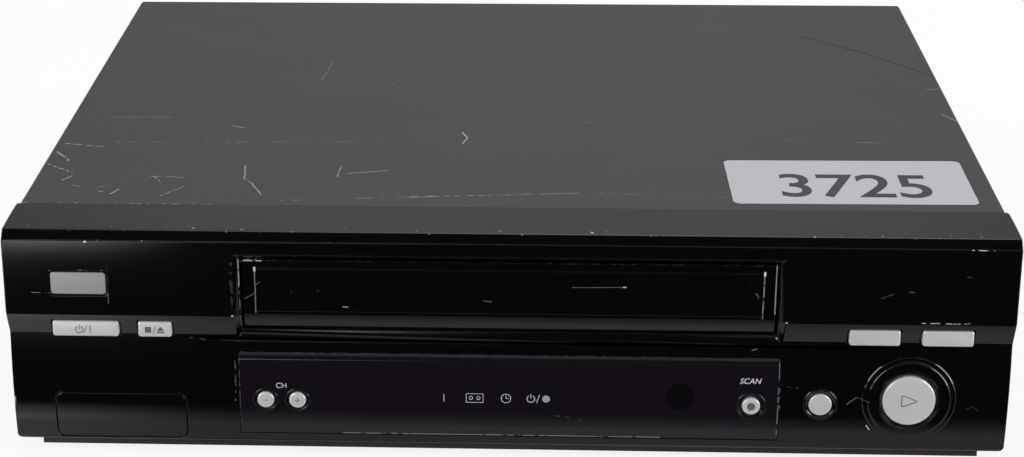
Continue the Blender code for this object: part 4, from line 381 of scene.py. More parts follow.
def group(name, inputs, outputs):
    """An empty group: a tuple makes a vector input, a number a float one."""
    tree = bpy.data.node_groups.new(name, "ShaderNodeTree")
    for label, value in inputs.items():
        kind = "NodeSocketVector" if isinstance(value, tuple) else "NodeSocketFloat"
        tree.interface.new_socket(label, in_out="INPUT", socket_type=kind).default_value = value
    for label in outputs:
        tree.interface.new_socket(label, in_out="OUTPUT", socket_type="NodeSocketFloat")
    given = tree.nodes.new("NodeGroupInput").outputs
    return tree, given, tree.nodes.new("NodeGroupOutput").inputs


def place_group(tree, shared, feeds):
    return add(tree, "ShaderNodeGroup", feeds, node_tree=shared).outputs


# %% [markdown]
# A scratch is the region near a short line. The same group also draws painted highlights along
# edges, painted glints, a painted reflection and painted shade. The group measures how far a
# point is from the line, after a little noise has made the point wander, and breaks the line up
# with more noise.
# Its Flat input drops one direction, so that a mark lies on a face whatever the face's depth.

# %% The group for scratches and painted light
scratch_and_painted_light, given, out = group(
    "scratch_and_painted_light",
    {
        "Place": (0, 0, 0), "Start": (0, 0, 0), "End": (0.01, 0, 0), "Width": 0.0003,
        "Wander": 0.002, "Gaps": 0.45, "Flat": (1, 1, 1),
    },
    ["Mask"],
)
wave = noise(scratch_and_painted_light, given["Place"], 70.0, 2.0)["Color"]
offset = scaled(scratch_and_painted_light, vector(scratch_and_painted_light, "SUBTRACT", wave, (0.5, 0.5, 0.5)), given["Wander"])
place = vector(scratch_and_painted_light, "ADD", given["Place"], offset)
place = vector(scratch_and_painted_light, "SUBTRACT", place, given["Start"])
place = vector(scratch_and_painted_light, "MULTIPLY", place, given["Flat"])
line = vector(scratch_and_painted_light, "SUBTRACT", given["End"], given["Start"])
line = vector(scratch_and_painted_light, "MULTIPLY", line, given["Flat"])
along = vector(scratch_and_painted_light, "DOT_PRODUCT", place, line, "Value")
whole = vector(scratch_and_painted_light, "DOT_PRODUCT", line, line, "Value")
nearest = scaled(scratch_and_painted_light, line, maths(scratch_and_painted_light, "DIVIDE", along, whole, clamp=True))
away = vector(scratch_and_painted_light, "DISTANCE", place, nearest, "Value")
inner = maths(scratch_and_painted_light, "MULTIPLY", given["Width"], 0.4)
core = ramp(scratch_and_painted_light, away, inner, given["Width"], 1.0, 0.0)
breaks = noise(scratch_and_painted_light, given["Place"], 420.0, 3.0)["Fac"]
held = ramp(scratch_and_painted_light, breaks, given["Gaps"], maths(scratch_and_painted_light, "ADD", given["Gaps"], 0.06))
scratch_and_painted_light.links.new(maths(scratch_and_painted_light, "MULTIPLY", core, held), out["Mask"])

# %% [markdown]
# Specks are the centres of cells in a Voronoi pattern, kept only where the cell's own random
# value is high. The same group gives dust when it is faint and chips when it is bright.

# %% The speck group
specks, given, out = group(
    "specks", {"Place": (0, 0, 0), "Scale": 120.0, "Size": 0.07, "Amount": 0.1}, ["Mask"]
)
wave = noise(specks, given["Place"], 300.0, 2.0)["Color"]
place = vector(specks, "ADD", given["Place"], scaled(specks, wave, 0.004))
cells = add(specks, "ShaderNodeTexVoronoi", {"Vector": place, "Scale": given["Scale"]}).outputs
random = add(specks, "ShaderNodeSeparateColor", {"Color": cells["Color"]}).outputs
size = maths(specks, "MULTIPLY", given["Size"], random[1])
dot = ramp(specks, cells["Distance"], maths(specks, "MULTIPLY", size, 0.5), size, 1.0, 0.0)
limit = maths(specks, "SUBTRACT", 1.0, given["Amount"])
kept = maths(specks, "GREATER_THAN", random[0], limit)
specks.links.new(maths(specks, "MULTIPLY", dot, kept), out["Mask"])

# %% [markdown]
# Grain is what the eye reads as paint, moulded plastic or sheet metal: a fine height for the
# bump, a slow change of shade, and a change of roughness where hands and cloths have rubbed.

# %% The grain group
grain, given, out = group(
    "grain",
    {
        "Place": (0, 0, 0), "Fineness": 900.0, "Stretch": (1, 1, 1), "Shade": 0.1,
        "Rubbing": 0.1, "Roughness": 0.4,
    },
    ["Height", "Tint", "Roughness"],
)
stretched = vector(grain, "MULTIPLY", given["Place"], given["Stretch"])
fine = noise(grain, stretched, given["Fineness"], 4.0)["Fac"]
slow = noise(grain, given["Place"], 14.0, 5.0, Roughness=0.6)["Fac"]
centred = maths(grain, "SUBTRACT", slow, 0.5)
tint = maths(grain, "MULTIPLY_ADD", centred, given["Shade"], 1.0)
half_shade = maths(grain, "MULTIPLY", given["Shade"], 0.5)
fine_tint = maths(grain, "MULTIPLY_ADD", maths(grain, "SUBTRACT", fine, 0.5), half_shade, tint)
rubbed = maths(grain, "MULTIPLY_ADD", centred, given["Rubbing"], given["Roughness"])
grain.links.new(fine, out["Height"])
grain.links.new(fine_tint, out["Tint"])
grain.links.new(maths(grain, "MAXIMUM", rubbed, 0.02), out["Roughness"])

# %% A material from the groups
ON_FRONT, ON_TOP = (1, 0, 1), (1, 1, 0)


def on_surface(flat, a, b):
    """A mark's end: (x, z) on the front, or (x, y) on the top."""
    return Vector((a, 0, b) if flat == ON_FRONT else (a, b, 0)) * MM


def finish(
    name, colour, roughness, metallic=0.0, shade=0.1, rubbing=0.1, fineness=900.0, bump=0.05,
    depth=0.02, stretch=(1, 1, 1), dust=0.0, dust_colour=(0.5, 0.5, 0.5), dust_scale=160.0,
    marks=(), flat=ON_FRONT, specular=0.5,
):
    """A Principled material with grain, dust and a list of lines: scratches, and also painted
    highlights and painted shade.
    """
    material = bpy.data.materials.new(name)
    material.use_nodes = True
    tree = material.node_tree
    shader = tree.nodes["Principled BSDF"].inputs
    shader["Metallic"].default_value = metallic
    shader["Specular IOR Level"].default_value = specular
    place = add(tree, "ShaderNodeTexCoord").outputs["Object"]
    feeds = {"Place": place, "Fineness": fineness, "Stretch": stretch, "Shade": shade}
    made = place_group(tree, grain, {**feeds, "Rubbing": rubbing, "Roughness": roughness})
    tinted = scaled(tree, colour, made["Tint"])
    rough = made["Roughness"]
    if dust:
        feeds = {"Place": place, "Scale": dust_scale, "Size": 0.12, "Amount": dust}
        mask = place_group(tree, specks, feeds)["Mask"]
        tinted = mix(tree, mask, tinted, dust_colour)
        rough = maths(tree, "MAXIMUM", rough, maths(tree, "MULTIPLY", mask, 0.6))
    # Lines mixed into the colour here are scratches, and also painted highlights, glints, reflection
    # and shade.
    for start_a, start_b, end_a, end_b, width, wander, gaps, bright in marks:
        ends = {"Start": on_surface(flat, start_a, start_b), "End": on_surface(flat, end_a, end_b)}
        feeds = {"Width": width * MM, "Wander": wander * MM, "Gaps": gaps, "Flat": flat}
        mark = place_group(tree, scratch_and_painted_light, {"Place": place, **ends, **feeds})["Mask"]
        tinted = mix(tree, mark, tinted, (bright, bright, bright))
        rough = maths(tree, "MAXIMUM", rough, maths(tree, "MULTIPLY", mark, 0.5))
    tree.links.new(tinted, shader["Base Color"])
    tree.links.new(rough, shader["Roughness"])
    feeds = {"Height": made["Height"], "Strength": bump, "Distance": depth * MM}
    tree.links.new(add(tree, "ShaderNodeBump", feeds).outputs["Normal"], shader["Normal"])
    FINISH[name] = material


# %% [markdown]
# ## The finishes of this machine
# The cover is sprayed in a dark grey paint that shows handling marks as pale lines, and two
# darker lines are painted shade along a dent. The front is polished black moulding, so it is
# nearly all reflection, with dust and fine scratches, with painted highlights along some edges,
# painted glints on the door and a painted reflection on the slot's frame.
# Each mark below gives its two ends, its width, how far it wanders, how broken it is, and how
# bright. Marks on the cover are in (x, y), the others in (x, z).

# %% Cover paint
COVER_MARKS_AND_DENT_SHADE = [
    (-92.5, -135.8, -30, -128.5, 0.22, 2.5, 0.5, 0.30),
    (-40, -130.2, 30, -123.0, 0.26, 3.0, 0.44, 0.34),
    (30, -123.0, 88, -127.0, 0.2, 3.0, 0.5, 0.26),
    (-21.7, -45.6, -19.0, -53.0, 0.45, 1.0, 0.2, 0.35),
    (-19.0, -53.0, -21.0, -61.0, 0.45, 1.0, 0.2, 0.3),
    (-111, -92.6, -111.3, -108, 0.5, 4.0, 0.4, 0.24),
    (-111.3, -108, -106, -116, 0.5, 3.0, 0.45, 0.24),
    (-106.1, -116.7, -101, -128.8, 0.4, 2.5, 0.35, 0.28),
    (-67.5, -101.7, -51.4, -97.5, 0.35, 1.0, 0.3, 0.32),
    (-71.3, -91.5, -71.6, -105.7, 0.45, 1.5, 0.42, 0.24),
    (-194.5, -76.4, -187.4, -88.2, 0.6, 5.0, 0.4, 0.26),
    (-192.9, -66, -176.4, -69.2, 0.45, 3.0, 0.44, 0.3),
    (-170, -122, -158, -116, 0.35, 3.0, 0.45, 0.22),
    (-150, -105, -141, -122, 0.35, 4.0, 0.5, 0.22),
    # These two darker lines are painted shade along a dent in the sheet.
    (141, 111.6, 168, 84, 1.6, 2.0, 0.38, 0.03),
    (168, 84, 196, 46, 1.2, 2.0, 0.4, 0.03),
    (10, -22, 36, -30, 0.25, 2.0, 0.5, 0.2),
    (-172, -63, -70, -60, 0.3, 0.6, 0.5, 0.22),
    (-180, -28, -152, -27, 0.3, 1.0, 0.42, 0.22),
    (-124, -39, -118, -41.5, 0.35, 1.0, 0.3, 0.3),
    (-186, -113, -183, -108, 0.4, 1.0, 0.3, 0.3),
    (-163, -130, -160.5, -124, 0.4, 1.0, 0.3, 0.32),
    (-142, -132, -134, -120, 0.3, 2.0, 0.4, 0.26),
    (-150, -108, -136, -109, 0.35, 3.0, 0.45, 0.26),
    (-182, -118, -166, -128, 0.35, 4.0, 0.5, 0.26),
    (-196, -92, -184, -103, 0.5, 5.0, 0.45, 0.28),
    (-90, 32, -88, 60, 0.3, 3.0, 0.45, 0.2),
    (118, -52, 128, -50, 0.35, 2.0, 0.45, 0.16),
    (149, -55, 160, -55, 0.35, 1.0, 0.4, 0.22),
    (191, 24, 196, 24, 0.4, 1.0, 0.2, 0.25),
    (192, -14, 197, -24, 0.4, 1.0, 0.3, 0.25),
    (-197, -141, -120, -141, 0.35, 0.4, 0.53, 0.3),
    (-60, 40, -52, 12, 0.25, 2.0, 0.52, 0.18),
]
finish(
    "dark_grey_paint", (0.049, 0.0525, 0.051), 0.46, shade=0.1, rubbing=0.12, fineness=1500,
    bump=0.25, depth=0.03, dust=0.012, dust_colour=(0.28, 0.28, 0.28), dust_scale=90,
    marks=COVER_MARKS_AND_DENT_SHADE, flat=ON_TOP, specular=0.22,
)

# %% Polished black, with chips along the ridge, painted highlights and a painted reflection
FRONT_MARKS_AND_PAINTED_LIGHT = [
    (-190, 98.1, 190, 98.1, 0.5, 0.6, 0.665, 0.4),
    (-200, 94.8, 60, 94.8, 0.3, 0.4, 0.69, 0.25),
    (180.5, 94.5, 189, 94.5, 0.24, 0.6, 0.46, 0.4),
    (-166.6, 94.2, -166.2, 94.2, 0.5, 0.2, 0.0, 0.6),
    (-131, 52.2, -119, 49.6, 1.1, 7.0, 0.57, 0.06),
    # A painted highlight along the fold under the upper face, right of the slot.
    (163, 63.5, 182, 63.6, 0.3, 1.2, 0.47, 0.3),
    (97.6, 49.3, 99.4, 49.8, 0.25, 1.0, 0.3, 0.16),
    (-199.8, 22, -199.8, 25, 0.5, 1.0, 0.4, 0.3),
    (136.2, 26.4, 139.8, 29.6, 0.15, 2.0, 0.25, 0.16),
    (139.8, 29.6, 145, 28.2, 0.13, 2.0, 0.35, 0.08),
    (183.4, 24.9, 186, 26.3, 0.12, 1.5, 0.35, 0.04),
    (186, 26.3, 188.2, 24.4, 0.12, 1.5, 0.35, 0.04),
    (144.5, 17.2, 145.7, 15.4, 0.3, 0.6, 0.2, 0.5),
    (108.6, 34.8, 117, 33.4, 0.13, 3.0, 0.46, 0.06),
    (108.8, 40, 109.6, 22, 0.3, 2.5, 0.5, 0.12),
    (-108.9, 42, -109.2, 24, 0.4, 2.5, 0.5, 0.05),
    (146, 74, 160, 76.5, 0.25, 8.0, 0.56, 0.05),
    (176, 85, 188, 82, 0.22, 8.0, 0.58, 0.05),
    (127, 70.4, 132, 67.5, 0.25, 3.0, 0.52, 0.1),
    (-184, 81.8, -157.5, 82.2, 0.25, 1.0, 0.55, 0.08),
    (-158.2, 84, -158.4, 67.5, 0.22, 1.0, 0.5, 0.1),
    (-190, 72.5, -182, 72.2, 0.2, 1.0, 0.5, 0.12),
    # A painted reflection on the slot frame's left slope, then painted highlights along its inner
    # edge, then bright dots at three of the frame's corners.
    (-108.6, 86, -108.8, 62, 0.9, 3.0, 0.5, 0.008),
    (-106.2, 86.8, -106.0, 74, 0.34, 0.3, 0.4, 0.2),
    (-106.0, 74, -105.9, 57.5, 0.3, 0.3, 0.4, 0.07),
    (-109.2, 63.2, -108.8, 63.3, 0.36, 0.2, 0.0, 0.55),
    (107.0, 54.3, 107.3, 54.1, 0.36, 0.2, 0.0, 0.55),
    (110.1, 63.2, 110.4, 63.2, 0.34, 0.2, 0.0, 0.5),
]
DOOR_MARKS_AND_HIGHLIGHTS = [
    # The first seven lines are painted: highlights along the raised middle's sides, the door's right
    # end and its top edge, and glints at the middle's top corners. The rest are scratches and
    # smudges.
    (-99.8, 82.6, -99.7, 64.2, 0.34, 0.3, 0.3, 0.13),
    (-99.8, 83.2, -99.8, 82.0, 0.6, 0.3, 0.0, 0.5),
    (101.2, 82.8, 101.0, 64.0, 0.32, 0.3, 0.38, 0.26),
    (101.2, 83.4, 101.2, 82.4, 0.6, 0.3, 0.0, 0.6),
    (105.8, 86.4, 105.8, 66, 0.36, 0.3, 0.3, 0.28),
    (-104, 86.3, -97, 86.3, 0.4, 0.4, 0.45, 0.4),
    (-97, 86.3, 104, 86.3, 0.25, 0.4, 0.52, 0.012),
    (26, 76.6, 46, 76.8, 0.14, 0.6, 0.3, 0.12),
    (46, 76.8, 47, 76.8, 0.35, 0.2, 0.0, 0.35),
    (-9.0, 70.3, -5.8, 69.9, 0.17, 1.0, 0.4, 0.12),
    (-77, 77, -75, 73.5, 0.3, 5.0, 0.5, 0.04),
    (-65, 67.2, -63, 67, 0.3, 0.6, 0.2, 0.22),
    (95, 80, 99.5, 72, 0.5, 6.0, 0.53, 0.08),
    (-99.4, 76.4, -97.8, 77.4, 0.22, 1.5, 0.35, 0.08),
    (-104, 70, -100.4, 72.2, 0.14, 1.0, 0.3, 0.12),
]
GLOSS = {"roughness": 0.1, "shade": 0.3, "fineness": 500, "bump": 0.03, "depth": 0.01}
finish(
    "polished_black", (0.0018, 0.0021, 0.0021), **GLOSS, rubbing=0.06, dust=0.035,
    dust_colour=(0.05, 0.05, 0.05), dust_scale=120, marks=FRONT_MARKS_AND_PAINTED_LIGHT,
)
finish(
    "polished_black_door", (0.0018, 0.002, 0.002), **GLOSS, rubbing=0.1, dust=0.03,
    dust_colour=(0.06, 0.06, 0.06), dust_scale=120, marks=DOOR_MARKS_AND_HIGHLIGHTS,
)

# %% Smoked window
WINDOW_MARKS_AND_HIGHLIGHTS = [
    # All but the second line are painted highlights along the lens's foot, sides and top; the second
    # is a faint wandering mark.
    (-66, 10.5, 62, 10.5, 0.3, 0.5, 0.36, 0.16),
    (8, 21.5, 30, 18.5, 0.25, 3.0, 0.5, 0.04),
    (108.8, 44, 108.8, 12, 0.3, 0.4, 0.42, 0.12),
    (-107.6, 44, -107.6, 12, 0.3, 0.4, 0.46, 0.06),
    (-107, 45.7, 108, 45.7, 0.25, 0.4, 0.46, 0.05),
]
SMOKED = {"roughness": 0.05, "shade": 0.15, "rubbing": 0.08, "fineness": 400, "bump": 0.01}
finish(
    "smoked_purple_window", (0.0066, 0.005, 0.0074), **SMOKED, depth=0.01, dust=0.04,
    dust_colour=(0.04, 0.035, 0.045), dust_scale=120, marks=WINDOW_MARKS_AND_HIGHLIGHTS,
)
finish("receiver_eye_tint", (0.0034, 0.0026, 0.0036), **SMOKED, depth=0.01)

# %% [markdown]
# The other finishes are one table. A row gives colour, roughness, metallic, shade, rubbing,
# fineness, bump and depth, then what is special, such as a stretched grain on brushed metal.

# %% Paints, metals, plastics and prints
FINISHES = {
    "satin_silver_paint": ((0.62, 0.63, 0.64), 0.34, 0.35, 0.12, 0.15, 2600, 0.12, 0.012),
    "legend_print": ((0.5, 0.5, 0.54), 0.5, 0, 0.15, 0.1, 3000),
    "grey_lamp_lens": ((0.26, 0.28, 0.34), 0.3, 0, 0.1, 0.1, 1500),
    "legend_grey_print": ((0.09, 0.09, 0.11), 0.5, 0, 0.15, 0.1, 3000),
    "satin_plate": ((0.33, 0.33, 0.34), 0.3, 0.5, 0.15, 0.25, 700, 0.15, 0.01, (0.06, 1, 1)),
    "zinc_sheet": ((0.42, 0.43, 0.43), 0.42, 0.9, 0.25, 0.3, 260, 0.08, 0.02),
    "turned_steel": ((0.56, 0.56, 0.57), 0.22, 1, 0.12, 0.15, 900, 0.1, 0.01, (1, 1, 12)),
    "machined_casting": ((0.5, 0.5, 0.51), 0.34, 1, 0.2, 0.2, 600, 0.15, 0.02),
    "moulded_matte_black": ((0.016, 0.016, 0.017), 0.55, 0, 0.25, 0.2, 1400, 0.25, 0.03),
    "black_base_paint": ((0.012, 0.012, 0.013), 0.42, 0, 0.25, 0.2, 1200, 0.2, 0.03),
    "rubber": ((0.018, 0.018, 0.018), 0.8, 0, 0.3, 0.1, 1100, 0.3, 0.04),
    "resin_board": ((0.045, 0.03, 0.013), 0.6, 0, 0.2, 0.1, 800, 0.1, 0.02, (1, 0.2, 1)),
    "white_acetal": ((0.62, 0.62, 0.57), 0.42, 0, 0.08, 0.1, 900, 0.05),
    "laminated_core": ((0.1, 0.1, 0.11), 0.45, 0.6, 0.3, 0.1, 300, 0.5, 0.1, (0.05, 0.05, 9)),
    "capacitor_sleeve": ((0.02, 0.03, 0.1), 0.35, 0, 0.1, 0.1, 700),
    "label_paper": ((0.47, 0.46, 0.49), 0.55, 0, 0.05, 0.05, 1800, 0.08),
    "label_ink": ((0.045, 0.045, 0.053), 0.6, 0, 0.15, 0.1, 2500),
    "contact_copper": ((0.6, 0.42, 0.2), 0.3, 1, 0.2, 0.1, 900),
    "jack_yellow": ((0.72, 0.45, 0.02), 0.4),
    "jack_white": ((0.66, 0.66, 0.62), 0.4),
    "jack_red": ((0.5, 0.015, 0.015), 0.4),
}
DUST = {
    "satin_silver_paint": {"dust": 0.02, "dust_colour": (0.1, 0.1, 0.1), "dust_scale": 260},
    "zinc_sheet": {"dust": 0.02, "dust_colour": (0.2, 0.2, 0.2)},
    "moulded_matte_black": {"dust": 0.02, "dust_colour": (0.1, 0.1, 0.1)},
    "black_base_paint": {"dust": 0.03, "dust_colour": (0.12, 0.12, 0.12)},
}
for name, row in FINISHES.items():
    finish(name, *row, **DUST.get(name, {}))
print("finishes:", len(FINISH))

# %% [markdown]
# ## Carried-over pieces
# The chassis, sockets, deck and mechanism have the right shape already. They could be built
# again with rounder edges, but they are hidden or small, so they only get their new finishes.

# %% Finishes for the frame's own pieces
SLOT_FINISH = {
    "black_matte": "moulded_matte_black",
    "rubber": "rubber",
    "zinc": "zinc_sheet",
    "bright_steel": "turned_steel",
    "cast_aluminium": "machined_casting",
    "circuit_board": "resin_board",
    "white_plastic": "white_acetal",
    "transformer_core": "laminated_core",
    "capacitor_sleeve": "capacitor_sleeve",
    "cover": "dark_grey_paint",
    "black_gloss": "polished_black",
    "smoked_window": "smoked_purple_window",
    "bright_trim": "satin_plate",
    "silver_key": "satin_silver_paint",
}
for entry in frame["record"]["subparts"]:
    carried = nodes[entry["node"]].data.materials
    carried.clear()
    carried.append(FINISH[SLOT_FINISH[entry["material_slot"]]])
nodes["base_chassis"].data.materials[0] = FINISH["black_base_paint"]

# %% [markdown]
# ## The front panel
# One moulding carries everything on the front. It could be put together from flat plates, but
# its side profile says nearly all, from the narrow top strip over the ridge, down the upright
# upper face and the slanted band to the bulging lower face. So that profile is drawn out across
# the machine and hollowed, each opening is cut through it, and its edges are softened together.

# %% The panel's body
HALF_WIDTH, WALL = 200, 2.8
TOE_HEIGHT, TOE_RADIUS = 7.5, 2
LOWER = [BAND_FOOT - (BAND_FOOT - TOE_HEIGHT) * step / 20 for step in range(21)]
TOE = face_y(TOE_HEIGHT) + TOE_RADIUS
TURNS = [math.radians(15 * step) for step in range(1, 7)]
PROFILE = UPRIGHT + [(face_y(z), z) for z in LOWER]
PROFILE += [
    (TOE - TOE_RADIUS * math.cos(t), TOE_HEIGHT - TOE_RADIUS * math.sin(t)) for t in TURNS
]
PROFILE += [(SEAM, PANEL_FOOT)]
panel = bar("front_moulding", PROFILE, -HALF_WIDTH - 3, HALF_WIDTH + 3)
low, high = (-HALF_WIDTH, FRONT - 0.1, PANEL_FOOT + 0.02), (HALF_WIDTH, SEAM + 20, 100.1)
plan = block("plan", low, high)
mode("EDIT")
choose("EDGE", lambda e: abs(e.verts[0].co.y - e.verts[1].co.y) > 0.01)
bpy.ops.mesh.bevel(offset=2.6 * MM, segments=8, affect="EDGES")


def front_upright(edge):
    a, b = (v.co for v in edge.verts)
    return max(a.y, b.y) < -0.16 and abs(a.z - b.z) > 0.01


choose("EDGE", front_upright)
bpy.ops.mesh.bevel(offset=2.0 * MM, segments=6, affect="EDGES")
mode("OBJECT")
shape(panel, "INTERSECT", plan)
INSIDE = [(SEAM + 3, 97.1), (-166.0, 95.6), (FRONT + WALL, 93.4), (FRONT + WALL, UPPER_FOOT)]
INSIDE += [(face_y(z, WALL), z) for z in LOWER[:-1]] + [(face_y(8.3, WALL), 8.3), (SEAM + 3, 8.3)]
shape(panel, "DIFFERENCE", bar("hollow", INSIDE, WALL - HALF_WIDTH, HALF_WIDTH - WALL))
print("panel body:", len(panel.data.polygons), "faces")

# %% [markdown]
# The cassette opening has a sloping rim on all four sides, like a picture frame. A bevel would
# slope evenly, but this rim follows the slanted band at its foot. So a column of four-cornered
# sections cuts the rim, each section with its own depths, and a plain block cuts the way in.

# %% The cassette opening
QUARTER = {(False, False): 0, (True, False): 1, (True, True): 2, (False, True): 3}
METRE = Vector((0, 0, 1))


def ladder(name, rungs):
    """A column of four-cornered sections, extruded downwards one rung at a time."""
    obj = block(name, (-1, -1, -1), (1, 1, 1))
    mode("EDIT")
    for corner in bmesh.from_edit_mesh(obj.data).verts:
        side, section = (1, rungs[0]) if corner.co.z > 0 else (-1, rungs[1])
        spot = Vector(section[QUARTER[corner.co.x > 0, corner.co.y > 0]]) * MM
        # Out by a metre and back rounds the height, which keeps it just off the panel's fold.
        corner.co = (spot + side * METRE) - side * METRE
    bmesh.update_edit_mesh(obj.data)
    lowest = [Vector(point) * MM for point in rungs[1]]
    for section in rungs[2:]:
        at_foot = lambda v: min((v.co - low).length for low in lowest) < 1e-7
        choose("FACE", lambda f: all(at_foot(v) for v in f.verts))
        bpy.ops.mesh.extrude_region()
        for corner in bmesh.from_edit_mesh(obj.data).verts:
            if corner.select:
                nearest = min(range(4), key=lambda i: (corner.co - lowest[i]).length)
                corner.co = Vector(section[nearest]) * MM
        bmesh.update_edit_mesh(obj.data)
        lowest = [Vector(point) * MM for point in section]
    outwards()
    return obj


def rung(outer, inner):
    """One section of the rim: two outer corners, then two inner ones, from (y, z) pairs."""
    left, right = SLOT_LEFT - 3.5, SLOT_RIGHT + 3.5
    return ((left, *outer), (right, *outer), (SLOT_RIGHT, *inner), (SLOT_LEFT, *inner))


PROUD = 0.6
rungs = [
    rung((FRONT - PROUD, SLOT_TOP + 2.5), (FRONT + 2, SLOT_TOP)),
    rung((FRONT - PROUD, UPPER_FOOT), (FRONT + 2, UPPER_FOOT)),
    rung((band_y(53) - PROUD, 53), (band_y(SLOT_FOOT) + 1.6, SLOT_FOOT + 0.02)),
    rung((face_y(47.5) - PROUD, 47.5), (face_y(50.7) + 0.95, SLOT_FOOT)),
]
rim = ladder("rim", rungs)
low, high = (SLOT_LEFT, FRONT - 2, SLOT_FOOT), (SLOT_RIGHT, FRONT + 8, SLOT_TOP)
shape(panel, "DIFFERENCE", rim, block("way_in", low, high))

# %% Openings for the keys, flap, window and plate
AHEAD, INSIDE_WALL = -175, -150
KEYS = {
    "power_button": (-168.5, 27.0, "power_key"),
    "stop_eject_button": (-140.6, 13.8, "stop_eject_key"),
    "rewind_button": (145.4, 20.4, "rewind_key"),
    "forward_button": (174.1, 20.4, "forward_key"),
}
KEY_LOW, KEY_HIGH = 53.1, 59.8
FLAP = (-182.8, -129.8, 7.1, 27.3)


def opening(left, right, foot, top, gap, radius, depth=INSIDE_WALL):
    """Cuts a rounded oblong through the panel, larger than the piece in it by a gap."""
    low, high = (left - gap, AHEAD, foot - gap), (right + gap, depth, top + gap)
    shape(panel, "DIFFERENCE", rounded_block("hole", low, high, "Y", radius))


for x, width, body in KEYS.values():
    opening(x - width / 2 - 0.1, x + width / 2 + 0.1, KEY_LOW, KEY_HIGH, 0.4, 1.2)
opening(*FLAP, 0.35, 3.95)
rise = WINDOW_TOP - WINDOW_FOOT + 0.3
seat = [(face_y(z, 1.8), z) for z in (WINDOW_FOOT - 0.15 + rise * step / 16 for step in range(17))]
seat = [(-176, WINDOW_FOOT - 0.15)] + seat + [(-176, WINDOW_TOP + 0.15)]
shape(panel, "DIFFERENCE", bar("seat", seat, WINDOW_LEFT - 0.15, WINDOW_RIGHT + 0.15))
low = (WINDOW_LEFT + 4, AHEAD, WINDOW_FOOT + 4)
high = (WINDOW_RIGHT - 4, INSIDE_WALL, WINDOW_TOP - 4)
shape(panel, "DIFFERENCE", block("hole", low, high))
opening(-181.7, -158.5, 71.3, 81.6, 0, 1.6, FRONT + 0.9)


# %% Dish, moat and holes of the round buttons
def follow_bulge(obj, level):
    """Shifts each point back with the lower face, measured from one height."""
    for corner in obj.data.vertices:
        corner.co.y += (face_y(corner.co.z / MM) - face_y(level)) * MM


PLAY, RECORD = (160.6, 28.8), (125.6, 26.4)
PLAY_FACE, RECORD_FACE = face_y(PLAY[1]), face_y(RECORD[1])
PLAY_CENTRE = (PLAY[0], PLAY_FACE, PLAY[1])
RECORD_CENTRE = (RECORD[0], RECORD_FACE, RECORD[1])
dish = rod("dish", PLAY_CENTRE, "Y", 18.4, -3, 1.3, 96)
follow_bulge(dish, PLAY[1])
moat = rod("moat", RECORD_CENTRE, "Y", 6.2, -2, 0.9)
holes = [
    rod("hole", (x, 0, z), "Y", radius, AHEAD, INSIDE_WALL)
    for (x, z), radius in ((PLAY, 11.4), (RECORD, 4.9))
]
soften(panel, 0.4, 3, angle=16)
shape(panel, "DIFFERENCE", dish, moat, *holes)
true_normals(panel)
fit(panel, "polished_black", "chassis", "black_gloss", "front_panel")

# %% [markdown]
# The play button stands in a shallow bowl with a rounded lip that fades out at its foot, and
# the record button in a narrow ring. They could be part of the panel's cut, but a turned
# profile gives a cleaner curve, so both are turned and then laid along the bulging face.

# %% Rings round the play and record buttons
bowl = [
    (18.0, 1.2), (11.3, 1.2), (11.3, 0.3), (11.4, 0.0), (11.6, -0.22), (11.85, -0.34),
    (12.1, -0.34), (12.4, -0.18), (12.7, -0.1), (13.3, -0.16), (14.1, -0.34), (14.9, -0.56),
    (15.5, -0.76), (15.85, -0.86), (16.05, -0.84), (16.3, -0.62), (16.5, -0.44),
    (16.7, -0.37), (17.6, -0.4), (18.05, -0.44), (18.25, -0.4), (18.45, -0.22),
    (18.7, 0.04), (18.0, 0.08),
]
BUTTON_GAP, HIDDEN = 12.4, 0.6
LEAST, SUNK = 0.08, 0.03
play_ring = turned("play_bowl", PLAY_CENTRE, "Y", bowl, 128, closed=True)
for corner in play_ring.data.vertices:
    across, rise = corner.co.x / MM - PLAY[0], corner.co.z / MM - PLAY[1]
    radius = math.hypot(across, rise)
    lift = corner.co.y / MM - PLAY_FACE
    if lift < HIDDEN and radius > BUTTON_GAP:
        low = max(0.0, min(1.0, (rise / radius + 0.93) / 0.75))
        keep = LEAST + (1 - LEAST) * low * low * (3 - 2 * low)
        corner.co.y = (PLAY_FACE + (lift - SUNK) * keep - SUNK * (1 - keep)) * MM
lip = [
    (6.1, 0.85), (5.0, 0.85), (5.0, 0.35), (5.3, 0.25), (5.7, 0.02), (5.95, -0.26),
    (6.2, -0.36), (6.5, -0.33), (6.75, -0.18), (6.9, 0.03), (6.1, 0.04),
]
record_ring = turned("record_ring", RECORD_CENTRE, "Y", lip, 96, closed=True)
for ring, level in ((play_ring, PLAY[1]), (record_ring, RECORD[1])):
    follow_bulge(ring, level)
    fit(smooth(ring, 40), "polished_black", "chassis", "black_gloss")

# %% [markdown]
# ## The cassette door
# A long flap that a cassette pushes inwards. Its face is upright with a raised middle, and its
# foot curls under, which is the grey stripe along the slot. The curl could be a bevel, but it
# has its own bends, so the leaf is one profile drawn out, joined with the middle and two pins.

